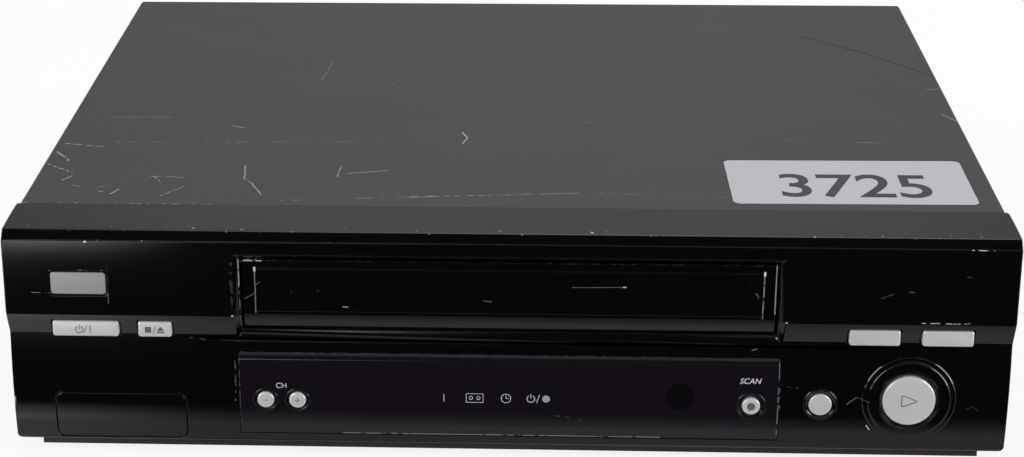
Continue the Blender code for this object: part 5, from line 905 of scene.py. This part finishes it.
# %% Door leaf
DOOR_Y, FRAME, FOLD = FRONT + 2, 4.9, 1.2
DOOR_LEFT, DOOR_RIGHT = SLOT_LEFT + FOLD, SLOT_RIGHT - FOLD
CURL = [
    (0, 86.4), (0, 64.5), (0.12, 63.9), (0.45, 63.05), (1.02, 61.75), (1.6, 60.45),
    (2.3, 58.95), (3.2, 57.1), (3.6, 57.0), (4.7, 57.8), (2, 63.4), (2, 86.4),
]
door = bar("door_leaf", [(DOOR_Y + back, z) for back, z in CURL], DOOR_LEFT, DOOR_RIGHT)
low, high = (DOOR_LEFT + FRAME, DOOR_Y - 0.45, 64.8), (DOOR_RIGHT - FRAME, DOOR_Y + 1, 83.0)
raised = rounded_block("raised", low, high, "Y", 0.8, 4)
pin_places = (SLOT_LEFT - 2, SLOT_RIGHT - 2.4)
pins = [rod("pin", (x, FRONT + 3, 85.4), "X", 0.8, 0, 4.4, 24) for x in pin_places]
shape(door, "UNION", raised, *pins)
soften(door, 0.25, 3)
fit(door, "polished_black_door", "door", "black_gloss", "cassette_door")

# %% [markdown]
# ## The socket flap
# A cover over the front sockets that carries on the bulging face. A flat plate would show as a
# break in the reflection, so it is a strip of the same bulge, cut to a rounded oblong.

# %% Flap leaf
LEFT, RIGHT, FOOT, HEAD = FLAP
heights = [FOOT - 1 + (HEAD - FOOT + 2) * step / 14 for step in range(15)]
strip = [(face_y(z) + 0.02, z) for z in heights] + [(face_y(z, 2), z) for z in reversed(heights)]
flap = bar("flap_leaf", strip, LEFT - 2, RIGHT + 2)
keep = rounded_block("keep", (LEFT, AHEAD, FOOT), (RIGHT, INSIDE_WALL, HEAD), "Y", 3.6, 10)
shape(flap, "INTERSECT", keep)
PIN_Z = FOOT + 3.6
pin_y = face_y(PIN_Z) + 1
pins = [rod("pin", (x, pin_y, PIN_Z), "X", 0.5, 0, 5, 20) for x in (LEFT - 2, RIGHT - 3)]
shape(flap, "UNION", *pins)
soften(flap, 0.4, 4)
true_normals(flap)
fit(flap, "polished_black", "flap", "black_gloss", "socket_flap")

# %% [markdown]
# ## The display window
# Smoked acrylic, a little proud of the panel and rolled back along its top edge. Real glass
# nodes would show an empty box behind it, so the lens is solid and dark, and its gloss does
# the rest. The buttons pass through chamfered holes with a fine rim round each.

# %% Window lens
ROUNDING_FROM, ROUNDING_DEPTH = 42.0, 1.1


def lens_y(z):
    """Depth of the lens, which rolls back a little below its top edge."""
    roll = max(0.0, (z - ROUNDING_FROM) / (WINDOW_TOP - ROUNDING_FROM))
    return face_y(z) - 0.15 + ROUNDING_DEPTH * roll ** 2


heights = [WINDOW_FOOT + (ROUNDING_FROM - WINDOW_FOOT) * step / 20 for step in range(21)]
heights += [ROUNDING_FROM + (WINDOW_TOP - ROUNDING_FROM) * step / 10 for step in range(1, 11)]
strip = [(lens_y(z), z) for z in heights]
strip += [(face_y(z, 1.7), z) for z in (WINDOW_TOP, 40, 34, 28, 22, 16, WINDOW_FOOT)]
lens = bar("window_lens", strip, WINDOW_LEFT, WINDOW_RIGHT)
soften(lens, 0.25, 3, angle=40)
DOWN_X, UP_X, SCAN_X, BUTTON_Z = -97.1, -84.2, 98.1, 25.4
BUTTON_FACE = face_y(BUTTON_Z)
RIMS = (("channel_down_rim", DOWN_X, 4.3), ("channel_up_rim", UP_X, 4.3), ("scan_rim", SCAN_X, 5.3))
for name, x, wide in RIMS:
    chamfer = [(0, -1), (wide, -1), (wide, -0.1), (3.95, 0.9), (3.95, 4), (0, 4)]
    shape(lens, "DIFFERENCE", turned("hole", (x, BUTTON_FACE, BUTTON_Z), "Y", chamfer, 64))
smooth(lens, 40)
true_normals(lens, lens_y)
fit(lens, "smoked_purple_window", "chassis", "smoked_window", "display_window")
RIM = ((0.05, -0.12), (0.3, -0.3), (0.55, -0.32), (0.8, -0.12), (0.8, 0.1), (0.05, 0.1))
for name, x, wide in RIMS:
    ring = [(wide + more, back) for more, back in RIM]
    piece = turned(name, (x, BUTTON_FACE, BUTTON_Z), "Y", ring, 72, closed=True)
    fit(smooth(piece, 40), "polished_black", "chassis", "smoked_window")

# %% [markdown]
# ## Keys and buttons
# All are moulded and sprayed satin silver, with softly rounded edges. The four oblong keys
# press in through the slanted band, so each is a rounded block with a bevelled front and a
# stem behind. The round ones are turned, which rounds their edge all the way in one step.

# %% Oblong keys
for name, (x, width, body) in KEYS.items():
    half = width / 2 - 0.2
    low, high = (x - half, FRONT + 1.2, KEY_LOW), (x + half, FRONT + 10.2, KEY_HIGH)
    key = rounded_block(f"{name}_cap", low, high, "Y", 1.0, 6)
    mode("EDIT")
    choose("FACE", lambda f: f.normal.y < -0.99)
    bpy.ops.mesh.bevel(offset=0.95 * MM, segments=6, affect="EDGES")
    mode("OBJECT")
    shape(key, "UNION", block("stem", (x - 2, FRONT + 10, 54.95), (x + 2, FRONT + 15.5, 57.95)))
    fit(smooth(key), "satin_silver_paint", body, "silver_key", name)

# %% Round buttons
SWITCH_Y, STEM = -155.3, 1.4


def round_button(name, x, z, radius, proud, body):
    """A cap with a flat face and a rounded edge, a flange behind the panel and a stem that reaches
    its switch.
    """
    face = face_y(z) - proud
    front, back = face + 4.0 + proud, face + 5.2 + proud
    cap = [
        (0, face), (radius - 0.9, face), (radius - 0.5, face + 0.04),
        (radius - 0.2, face + 0.18), (radius - 0.05, face + 0.42), (radius, face + 0.8),
        (radius, front), (radius + 1, front), (radius + 1, back), (STEM, back),
        (STEM, SWITCH_Y), (0, SWITCH_Y),
    ]
    piece = turned(f"{name}_cap", (x, 0, z), "Y", cap, 96)
    fit(smooth(piece, 45), "satin_silver_paint", body, "silver_key", name)


round_button("play_button", *PLAY, 10.45, 1.0, "play_key")
round_button("record_button", *RECORD, 4.6, 0.6, "record_key")
round_button("channel_down_button", DOWN_X, BUTTON_Z, 3.4, 0.8, "channel_down_key")
round_button("channel_up_button", UP_X, BUTTON_Z, 3.4, 0.8, "channel_up_key")
round_button("scan_button", SCAN_X, BUTTON_Z, 3.6, 0.8, "scan_key")
# A dark disc on the scan button's face is painted shade that stands for its pit.
centre, dot = (SCAN_X, BUTTON_FACE - 0.86, BUTTON_Z), [(0, 0), (1.5, 0), (1.65, 0.05), (1.65, 0.3)]
painted_pit_shade = turned("scan_button_painted_pit_shade", centre, "Y", dot + [(0, 0.3)], 48)
fit(smooth(painted_pit_shade, 40), "legend_grey_print", "scan_key", "silver_key")

# %% [markdown]
# ## Legends
# The working signs are printed on the keys and behind the window. A picture could hold them,
# but thin strokes laid on the surface stay sharp from close by. A stroke is a curve with a
# round section, turned into a mesh. The few plain words use Blender's own font.


# %% Strokes and words
def stroke(name, place, points, width, body, closed=False):
    """A thin raised line through (x, z) points round a place; chassis signs are on the glass."""
    curve = bpy.data.curves.new(name, "CURVE")
    curve.dimensions = "3D"
    spline = curve.splines.new("POLY")
    spline.points.add(len(points) - 1)
    for knot, (a, b) in zip(spline.points, points):
        knot.co = (*((Vector(place) + Vector((a, 0, b))) * MM), 1)
    spline.use_cyclic_u = closed
    curve.bevel_depth = width / 2 * MM
    curve.bevel_resolution = 2
    curve.use_fill_caps = not closed
    obj = bpy.data.objects.new(name, curve)
    bpy.context.scene.collection.objects.link(obj)
    only(obj)
    bpy.ops.object.convert(target="MESH")
    on_glass = body == "chassis"
    material = "legend_print" if on_glass else "legend_grey_print"
    fit(smooth(named(name), 60), material, body, "smoked_window" if on_glass else "silver_key")


def ring_points(radius, start=0.0, end=360.0, count=28):
    span = [math.radians(start + (end - start) * i / count) for i in range(count + 1)]
    return [(radius * math.cos(t), radius * math.sin(t)) for t in span]


def words(name, text, height, place, turn, material, slot, weight=0.0, slant=0.0, wide=1.0):
    """A word in Blender's own font, made a mesh."""
    fresh()
    bpy.ops.object.text_add()
    obj = named(name)
    obj.data.body = text
    obj.data.size = height * MM
    obj.data.align_x = obj.data.align_y = "CENTER"
    obj.data.offset = weight * MM
    obj.data.shear = slant
    obj.data.extrude = 0.02 * MM
    bpy.ops.object.convert(target="MESH")
    obj.location = Vector(place) * MM
    obj.rotation_euler = (math.radians(90), 0, math.radians(turn))
    obj.scale = (wide, 1, 1)
    bpy.ops.object.transform_apply(location=True, rotation=True, scale=True)
    fit(obj, material, "chassis", slot)


# %% Signs on the keys
KEY_FACE = FRONT + 1.18
BEHIND, BEFORE = FRONT + 1.24, FRONT + 1.12
POWER, STOP = "power_key", "stop_eject_key"
GAPPED = (122, 418)
triangle = [(-2.9, 2.2), (-2.55, 2.4), (3.0, 0.2), (3.0, -0.2), (-2.55, -2.4), (-2.9, -2.2)]
minus, upright = [(-1.1, 0), (1.1, 0)], [(0, -1.1), (0, 1.1)]
BUTTON_SIGN = BUTTON_FACE - 0.8
stroke("power_sign_ring", (-171.0, KEY_FACE, 56.2), ring_points(1.5, *GAPPED), 0.34, POWER)
stroke("power_sign_bar", (-171.0, KEY_FACE, 56.2), [(0, 0.1), (0, 1.9)], 0.34, POWER)
stroke("power_sign_slash", (-168.5, KEY_FACE, 56.3), [(-0.6, -1.7), (0.6, 1.7)], 0.28, POWER)
stroke("power_sign_line", (-166.6, KEY_FACE, 56.3), [(0, -1.6), (0, 1.6)], 0.34, POWER)
square = rounded_block("stop_sign", (-144.5, BEFORE, 55.1), (-142.0, BEHIND, 57.6), "Y", 0.15, 3)
fit(square, "legend_grey_print", STOP, "silver_key")
stroke("stop_sign_slash", (-140.7, KEY_FACE, 56.4), [(-0.5, -1.5), (0.5, 1.5)], 0.26, STOP)
eject = bar("eject_sign", [(BEFORE, 0), (BEHIND, 0), (BEHIND, 1.7), (BEFORE, 1.7)], -1.5, 1.5)
mode("EDIT")
choose("VERT", lambda v: v.co.z > 0.001)
bpy.ops.transform.resize(value=(0.02, 1, 1))
mode("OBJECT")
eject.data.transform(Matrix.Translation(Vector((-138.2, 0, 56.0)) * MM))
fit(eject, "legend_grey_print", STOP, "silver_key")
low, high = (-139.7, BEFORE, 55.0), (-136.7, BEHIND, 55.6)
fit(rounded_block("eject_sign_bar", low, high, "Y", 0.1, 2), "legend_grey_print", STOP, "silver_key")
stroke("play_sign", (PLAY[0], PLAY_FACE - 1.0, PLAY[1]), triangle, 0.34, "play_key", True)
stroke("minus_sign", (DOWN_X, BUTTON_SIGN, BUTTON_Z), minus, 0.3, "channel_down_key")
stroke("plus_sign_a", (UP_X, BUTTON_SIGN, BUTTON_Z), minus, 0.3, "channel_up_key")
stroke("plus_sign_b", (UP_X, BUTTON_SIGN, BUTTON_Z), upright, 0.3, "channel_up_key")

# %% Signs in the window
SIGN_Z = 27.3
GLASS = face_y(SIGN_Z) - 0.16
cassette = [(-3.4, -1.9), (-3.4, 1.9), (3.4, 1.9), (3.4, -1.9)]
reel = ring_points(0.7, count=16)[:-1]
GLASS_SIGNS = (
    ("standby_sign", -25, [(0, -1.6), (0, 1.6)], 0.3, False),
    ("clock_ring", 0, ring_points(1.9)[:-1], 0.26, True),
    ("clock_hands", 0, [(0, 1.3), (0, 0), (1.1, 0)], 0.26, False),
    ("on_sign_ring", 10.0, ring_points(1.55, *GAPPED), 0.3, False),
    ("on_sign_bar", 10.0, [(0, 0.2), (0, 2.1)], 0.3, False),
    ("on_sign_slash", 12.9, [(-0.6, -1.8), (0.6, 1.8)], 0.26, False),
    ("tape_sign", -12.6, cassette, 0.28, True),
    ("tape_sign_reel_left", -14.1, reel, 0.24, True),
    ("tape_sign_reel_right", -11.1, reel, 0.24, True),
)
for name, x, points, width, closed in GLASS_SIGNS:
    stroke(name, (x, GLASS, SIGN_Z), points, width, "chassis", closed)
dome = [(0, -0.12), (1.5, -0.1), (1.65, 0.1), (0, 0.1)]
lamp = turned("on_lamp", (16.1, GLASS + 0.02, SIGN_Z), "Y", dome, 40)
fit(smooth(lamp), "grey_lamp_lens", "chassis", "smoked_window")
EYE_Z = 29.2
disc = [(0, -0.05), (5.8, -0.04), (6.0, 0.3), (0, 0.3)]
eye = turned("receiver_eye", (69.7, face_y(EYE_Z) - 0.14, EYE_Z), "Y", disc, 64)
follow_bulge(eye, EYE_Z)
fit(smooth(eye), "receiver_eye_tint", "chassis", "smoked_window")
PRINT = ("legend_print", "smoked_window")
words("channel_word", "CH", 3.2, (-90.6, face_y(31.2) - 0.17, 31.6), 0, *PRINT)
words("scan_word", "SCAN", 3.4, (97.4, face_y(36) - 0.19, 36.2), 0, *PRINT, 0.02, 0.25, 0.95)

# %% [markdown]
# ## The small plate
# A satin metal tile lies in a shallow recess at the upper left. It could be a flat face with a
# metal material, but its soft edge and the dark line round it are what make it read as a part.

# %% Plate
low, high = (-181.2, FRONT + 0.1, 71.8), (-159.1, FRONT + 0.85, 81.1)
tile = rounded_block("blank_tile", low, high, "Y", 1.4, 6)
soften(tile, 0.3, 3)
fit(tile, "satin_plate", "chassis", "bright_trim", "badge_plate")

# %% [markdown]
# ## The cover
# Folded from one sheet: a flat top, two sides and rounded bends. A Solidify modifier on a bent
# plane would do, but here the whole section, inside and outside, is drawn out in one step, so
# the wall is exact. Cooling slots are cut in a row near the back of each side. The top lies a
# hair under the panel, which shows as a seam.

# %% Cover shell
OUTSIDE, SHEET, BEND = 198.4, 1.0, 2.2


def bends(radius, sides):
    """Points of the two top bends, each from a first angle to a last one."""
    points = []
    for side, first, last in sides:
        for step in range(9):
            t = math.radians(first + (last - first) * step / 8)
            middle = side * (OUTSIDE - BEND)
            points.append((middle + radius * math.cos(t), TOP - BEND + radius * math.sin(t)))
    return points


section = [(OUTSIDE, PANEL_FOOT)] + bends(BEND, ((1, 0, 90), (-1, 90, 180)))
section += [(-OUTSIDE, PANEL_FOOT), (SHEET - OUTSIDE, PANEL_FOOT)]
section += bends(BEND - SHEET, ((-1, 180, 90), (1, 90, 0))) + [(OUTSIDE - SHEET, PANEL_FOOT)]
cover = bar("cover_shell", [(-a, b) for a, b in section], SEAM + 0.3, REAR)
cover.data.transform(Matrix.Rotation(math.radians(90), 4, "Z"))
for number in range(8):
    y = 140.5 - 8 * number
    slot = rounded_block("slot", (-205, y - 1.2, 46), (205, y + 1.2, 70), "X", 1.1, 5)
    shape(cover, "DIFFERENCE", slot)
shape(cover, "DIFFERENCE", rod("screw_hole", (-205, 110.5, 17.5), "X", 1.9, 0, 410, 32))
soften(cover, 0.2, 2)
fit(cover, "dark_grey_paint", "chassis", "cover", "top_cover")

# %% [markdown]
# ## The paper label
# A stock label on the cover, rounded at its corners and stuck a little askew. It could be a
# patch of colour in the paint, but paper has a thickness whose edge shows, so it is a thin
# block with its corners moved to their places, and its number is a mesh on top.

# %% Label and its number
LABEL = ((90.1, -80.6), (189.1, -79.3), (189.2, -133.2), (90.8, -134.3))
label = block("paper_label", (90, -134, TOP + 0.02), (193, -79, TOP + 0.14))
for corner in label.data.vertices:
    row = (0, 1) if corner.co.y > -0.1 else (3, 2)
    corner.co.x, corner.co.y = (Vector(LABEL[row[corner.co.x > 0.14]]) * MM)[:]
mode("EDIT")
choose("EDGE", lambda e: abs(e.verts[0].co.z - e.verts[1].co.z) > 5e-5)
bpy.ops.mesh.bevel(offset=3.2 * MM, segments=8, affect="EDGES")
mode("OBJECT")
soften(label, 0.04, 2)
fit(label, "label_paper", "chassis", "cover")

NUMBER_WIDE, NUMBER_HIGH = 61.2, 28.6
fresh()
bpy.ops.object.text_add()
number = named("label_number")
number.data.body = "3725"
number.data.size = 40 * MM
number.data.offset = 0.5 * MM
number.data.extrude = 0.01 * MM
bpy.ops.object.convert(target="MESH")
bpy.ops.object.origin_set(type="ORIGIN_GEOMETRY", center="BOUNDS")
wide, high, thick = number.dimensions
number.scale = (NUMBER_WIDE * MM / wide, NUMBER_HIGH * MM / high, 1)
number.location = Vector((141.9, -111.8, TOP + 0.15)) * MM
bpy.ops.object.transform_apply(location=True, rotation=True, scale=True)
fit(number, "label_ink", "chassis", "cover")

# %% [markdown]
# ## Sockets and the back
# Coloured collars mark the phono sockets. The aerial sockets have an insulator and a pin, and
# the wide sockets have two rows of blades: one blade is modelled, and two Array modifiers make
# the rows. Short plain words name the sockets, as on any such machine.

# %% Collars, pins and blades
BACK, TRAY = 165.5, -155.25
FRONT_COLLAR = [(4.3, 0), (4.3, -0.7), (4.45, -0.85), (6.35, -0.85), (6.6, -0.6), (6.6, 0)]
REAR_COLLAR = [(4.3, 0.02), (4.3, 0.7), (4.5, 0.85), (6.1, 0.85), (6.4, 0.6), (6.4, 0.02)]
COLLARS = (
    ("front_video_collar", -171.3, TRAY, 17.2, FRONT_COLLAR, "jack_yellow"),
    ("front_left_collar", -156.3, TRAY, 17.2, FRONT_COLLAR, "jack_white"),
    ("front_right_collar", -141.3, TRAY, 17.2, FRONT_COLLAR, "jack_red"),
    ("rear_left_collar", -35.5, BACK, 17.6, REAR_COLLAR, "jack_white"),
    ("rear_right_collar", -20.5, BACK, 17.6, REAR_COLLAR, "jack_red"),
)
for name, x, y, z, profile, material in COLLARS:
    piece = turned(name, (x, y, z), "Y", profile, 48, closed=True)
    fit(smooth(piece, 40), material, "chassis", "black_matte")
WASHER = [(0.9, 0), (4.7, 0), (4.7, 0.6), (0.9, 0.6)]
POINT = [(0, 0), (0.7, 0), (0.7, 4.2), (0.4, 4.8), (0, 4.8)]
for name, z in (("aerial_in", 48.6), ("aerial_out", 28.6)):
    core = turned(f"{name}_insulator", (150, 163.3, z), "Y", WASHER, 40, closed=True)
    fit(smooth(core, 40), "white_acetal", "chassis", "zinc")
    pin = turned(f"{name}_pin", (150, 163.3, z), "Y", POINT, 24)
    fit(smooth(pin, 40), "contact_copper", "chassis", "zinc")
for number, x in ((1, 78), (2, 22)):
    low, high = (x - 18.6, 158.3, 15.9), (x - 17.9, 162.5, 17.5)
    blade = block(f"wide_socket_{number}_blades", low, high)
    for count, step in ((10, (4.05, 0, 0)), (2, (0.6, 0, 3.5))):
        offset = {"use_relative_offset": False, "use_constant_offset": True}
        modify(blade, "ARRAY", count=count, constant_offset_displace=Vector(step) * MM, **offset)
    soften(blade, 0.08, 2)
    fit(blade, "contact_copper", "chassis", "black_matte")

# %% Words on the back
REAR_WORDS = (
    ("AERIAL IN", 150, 57.5, 2.6), ("RF OUT", 150, 38.0, 2.6), ("AV 1", 78, 30.5, 3.0),
    ("AV 2", 22, 30.5, 3.0), ("AUDIO OUT", -28, 27.5, 2.6), ("L", -35.5, 9.3, 2.4),
    ("R", -20.5, 9.3, 2.4), ("AC IN", -150, 42.5, 2.6),
)
for text, x, z, height in REAR_WORDS:
    name = "rear_word_" + text.lower().replace(" ", "_")
    words(name, text, height, (x, BACK + 0.03, z), 180, "label_ink", "zinc", weight=0.03)

# %% [markdown]
# ## Floor, light and camera
# The object stands on white with dark surroundings in front of it, so the black front stays
# black and only the parts that look down at the table turn grey. Lamps alone can't do both.
# The floor is therefore pale to the eye, and for reflections only it glows in a painted
# reflection: pale near the machine and at its sides, dark further forward, and bright again in
# one far patch at the left.

# %% Floor
fresh()
bpy.ops.mesh.primitive_plane_add(size=12, location=(0, 0, 0))
floor = named("floor")
floor_material = bpy.data.materials.new("pale_floor")
floor_material.use_nodes = True
tree = floor_material.node_tree
shader = tree.nodes["Principled BSDF"]
shader.inputs["Base Color"].default_value = (0.86, 0.86, 0.86, 1)
shader.inputs["Roughness"].default_value = 0.9
shader.inputs["Specular IOR Level"].default_value = 0.0
place = add(tree, "ShaderNodeNewGeometry").outputs["Position"]
split = add(tree, "ShaderNodeSeparateXYZ", {"Vector": place}).outputs
x, y = split["X"], split["Y"]
edge = ramp(tree, x, -0.2, -0.06, -0.1975, -0.1915, "LINEAR")
near = ramp(tree, maths(tree, "SUBTRACT", y, edge), -0.011, 0.009)
across = ramp(tree, x, -0.215, -0.11, 1.1, 0.34)
dimmer = maths(tree, "MULTIPLY", maths(tree, "SUBTRACT", 0.55, across), 0.6)
level = maths(tree, "MULTIPLY_ADD", ramp(tree, y, -0.1885, -0.1855), dimmer, across)
strip = maths(tree, "MULTIPLY", near, level)
patch = ramp(tree, y, -0.411, -0.421, 0.0, 3.4)
far = maths(tree, "MULTIPLY", patch, ramp(tree, x, -0.16, -0.245))
left_side, right_side = (ramp(tree, x, 0.27 * s, 0.36 * s, 0.0, 1.1) for s in (-1, 1))
middle, sides = maths(tree, "MAXIMUM", strip, far), maths(tree, "MAXIMUM", left_side, right_side)
painted_reflection_level = maths(tree, "MAXIMUM", middle, sides)
WHITE, WHITENESS = (1, 1, 1, 1), 0.86
# Glossy rays see this glow, a painted reflection, in place of the lit floor.
painted_reflection = add(tree, "ShaderNodeEmission", {"Color": WHITE, "Strength": painted_reflection_level}).outputs[0]
glow = add(tree, "ShaderNodeEmission", {"Color": WHITE, "Strength": 1.0}).outputs[0]
paths = add(tree, "ShaderNodeLightPath").outputs
camera_ray, glossy_ray = paths["Is Camera Ray"], paths["Is Glossy Ray"]


def blend_shaders(share, first, second):
    return add(tree, "ShaderNodeMixShader", {0: share, 1: first, 2: second}).outputs[0]


lit = blend_shaders(WHITENESS, shader.outputs[0], glow)
final = blend_shaders(glossy_ray, blend_shaders(camera_ray, shader.outputs[0], lit), painted_reflection)
tree.links.new(final, tree.nodes["Material Output"].inputs["Surface"])
floor.data.materials.append(floor_material)

# %% [markdown]
# The world does the same: white to the eye, soft for the light, and for reflections dark with
# a glow behind the machine, a little at the sides, and a low one in front for the bowl's rim.

# %% World
world = bpy.data.worlds.new("studio")
bpy.context.scene.world = world
world.use_nodes = True
tree = world.node_tree
direction = add(tree, "ShaderNodeTexCoord").outputs["Generated"]
split = add(tree, "ShaderNodeSeparateXYZ", {"Vector": direction}).outputs
apart = maths(tree, "ABSOLUTE", split["X"])
backwards = ramp(tree, split["Y"], 0.3, 0.85, 0.0, 0.5)
behind = maths(tree, "MULTIPLY", backwards, ramp(tree, apart, 0.08, 0.36, 1.0, 0.45))
sides = ramp(tree, apart, 0.6, 0.95, 0.0, 0.14)
fade = ramp(tree, split["Z"], 0.62, 0.8, 1.0, 0.0)
low = maths(tree, "MULTIPLY", ramp(tree, split["Z"], 0.34, 0.48), fade)
ahead = maths(tree, "MULTIPLY", low, ramp(tree, split["Y"], -0.3, -0.7, 0.0, 0.45))
around = maths(tree, "MAXIMUM", maths(tree, "MAXIMUM", behind, sides), ahead)
levels = {"soft": 0.34, "dark": maths(tree, "ADD", around, 0.004), "white": 1.0}
soft, dark, white = (
    add(tree, "ShaderNodeBackground", {"Color": WHITE, "Strength": strength}).outputs[0]
    for strength in levels.values()
)
paths = add(tree, "ShaderNodeLightPath").outputs
last = blend_shaders(paths["Is Glossy Ray"], soft, dark)
last = blend_shaders(paths["Is Camera Ray"], last, white)
target = tree.nodes.get("World Output") or tree.nodes.new("ShaderNodeOutputWorld")
tree.links.new(last, target.inputs["Surface"])


# %% Lamps
def lamp_at(name, place, size, power):
    """A square softbox that faces the middle of the machine."""
    fresh()
    bpy.ops.object.light_add(type="AREA", location=place)
    light = named(name)
    light.data.size = size
    light.data.energy = power
    aim = Vector((0, -0.05, 0.05)) - Vector(place)
    light.rotation_euler = aim.to_track_quat("-Z", "Y").to_euler()


lamp_at("left_softbox", (-1.6, -0.95, 0.95), 1.2, 28)
lamp_at("right_softbox", (1.75, -0.6, 0.6), 1.2, 30)
lamp_at("overhead_softbox", (0.25, 0.3, 1.9), 1.4, 12)

# %% [markdown]
# The camera stands where the photograph's did: its place, its turn and its lens were worked
# out from the straight edges of the case. A shift of the lens keeps the picture's framing.

# %% Camera
YAW, PITCH, ROLL = math.radians(-2.975), math.radians(20.48), math.radians(-0.451)
STAND = (0.01281, -1.05013, 0.43024)
fresh()
bpy.ops.object.camera_add()
camera = named("camera")
look = Vector((math.sin(YAW) * math.cos(PITCH), math.cos(YAW) * math.cos(PITCH), -math.sin(PITCH)))
right = Vector((math.cos(YAW), -math.sin(YAW), 0))
up = right.cross(look)
leaning = math.cos(ROLL) * right + math.sin(ROLL) * up
up = math.cos(ROLL) * up - math.sin(ROLL) * right
turn = Matrix((leaning, up, -look)).transposed().to_4x4()
camera.matrix_world = Matrix.Translation(STAND) @ turn
camera.data.sensor_width = 36
camera.data.lens = 84.58
camera.data.shift_x = 0.0874
camera.data.clip_start = 0.01
bpy.context.scene.camera = camera
bpy.context.scene.view_settings.view_transform = "Standard"

# %% Finish
print("scene built")
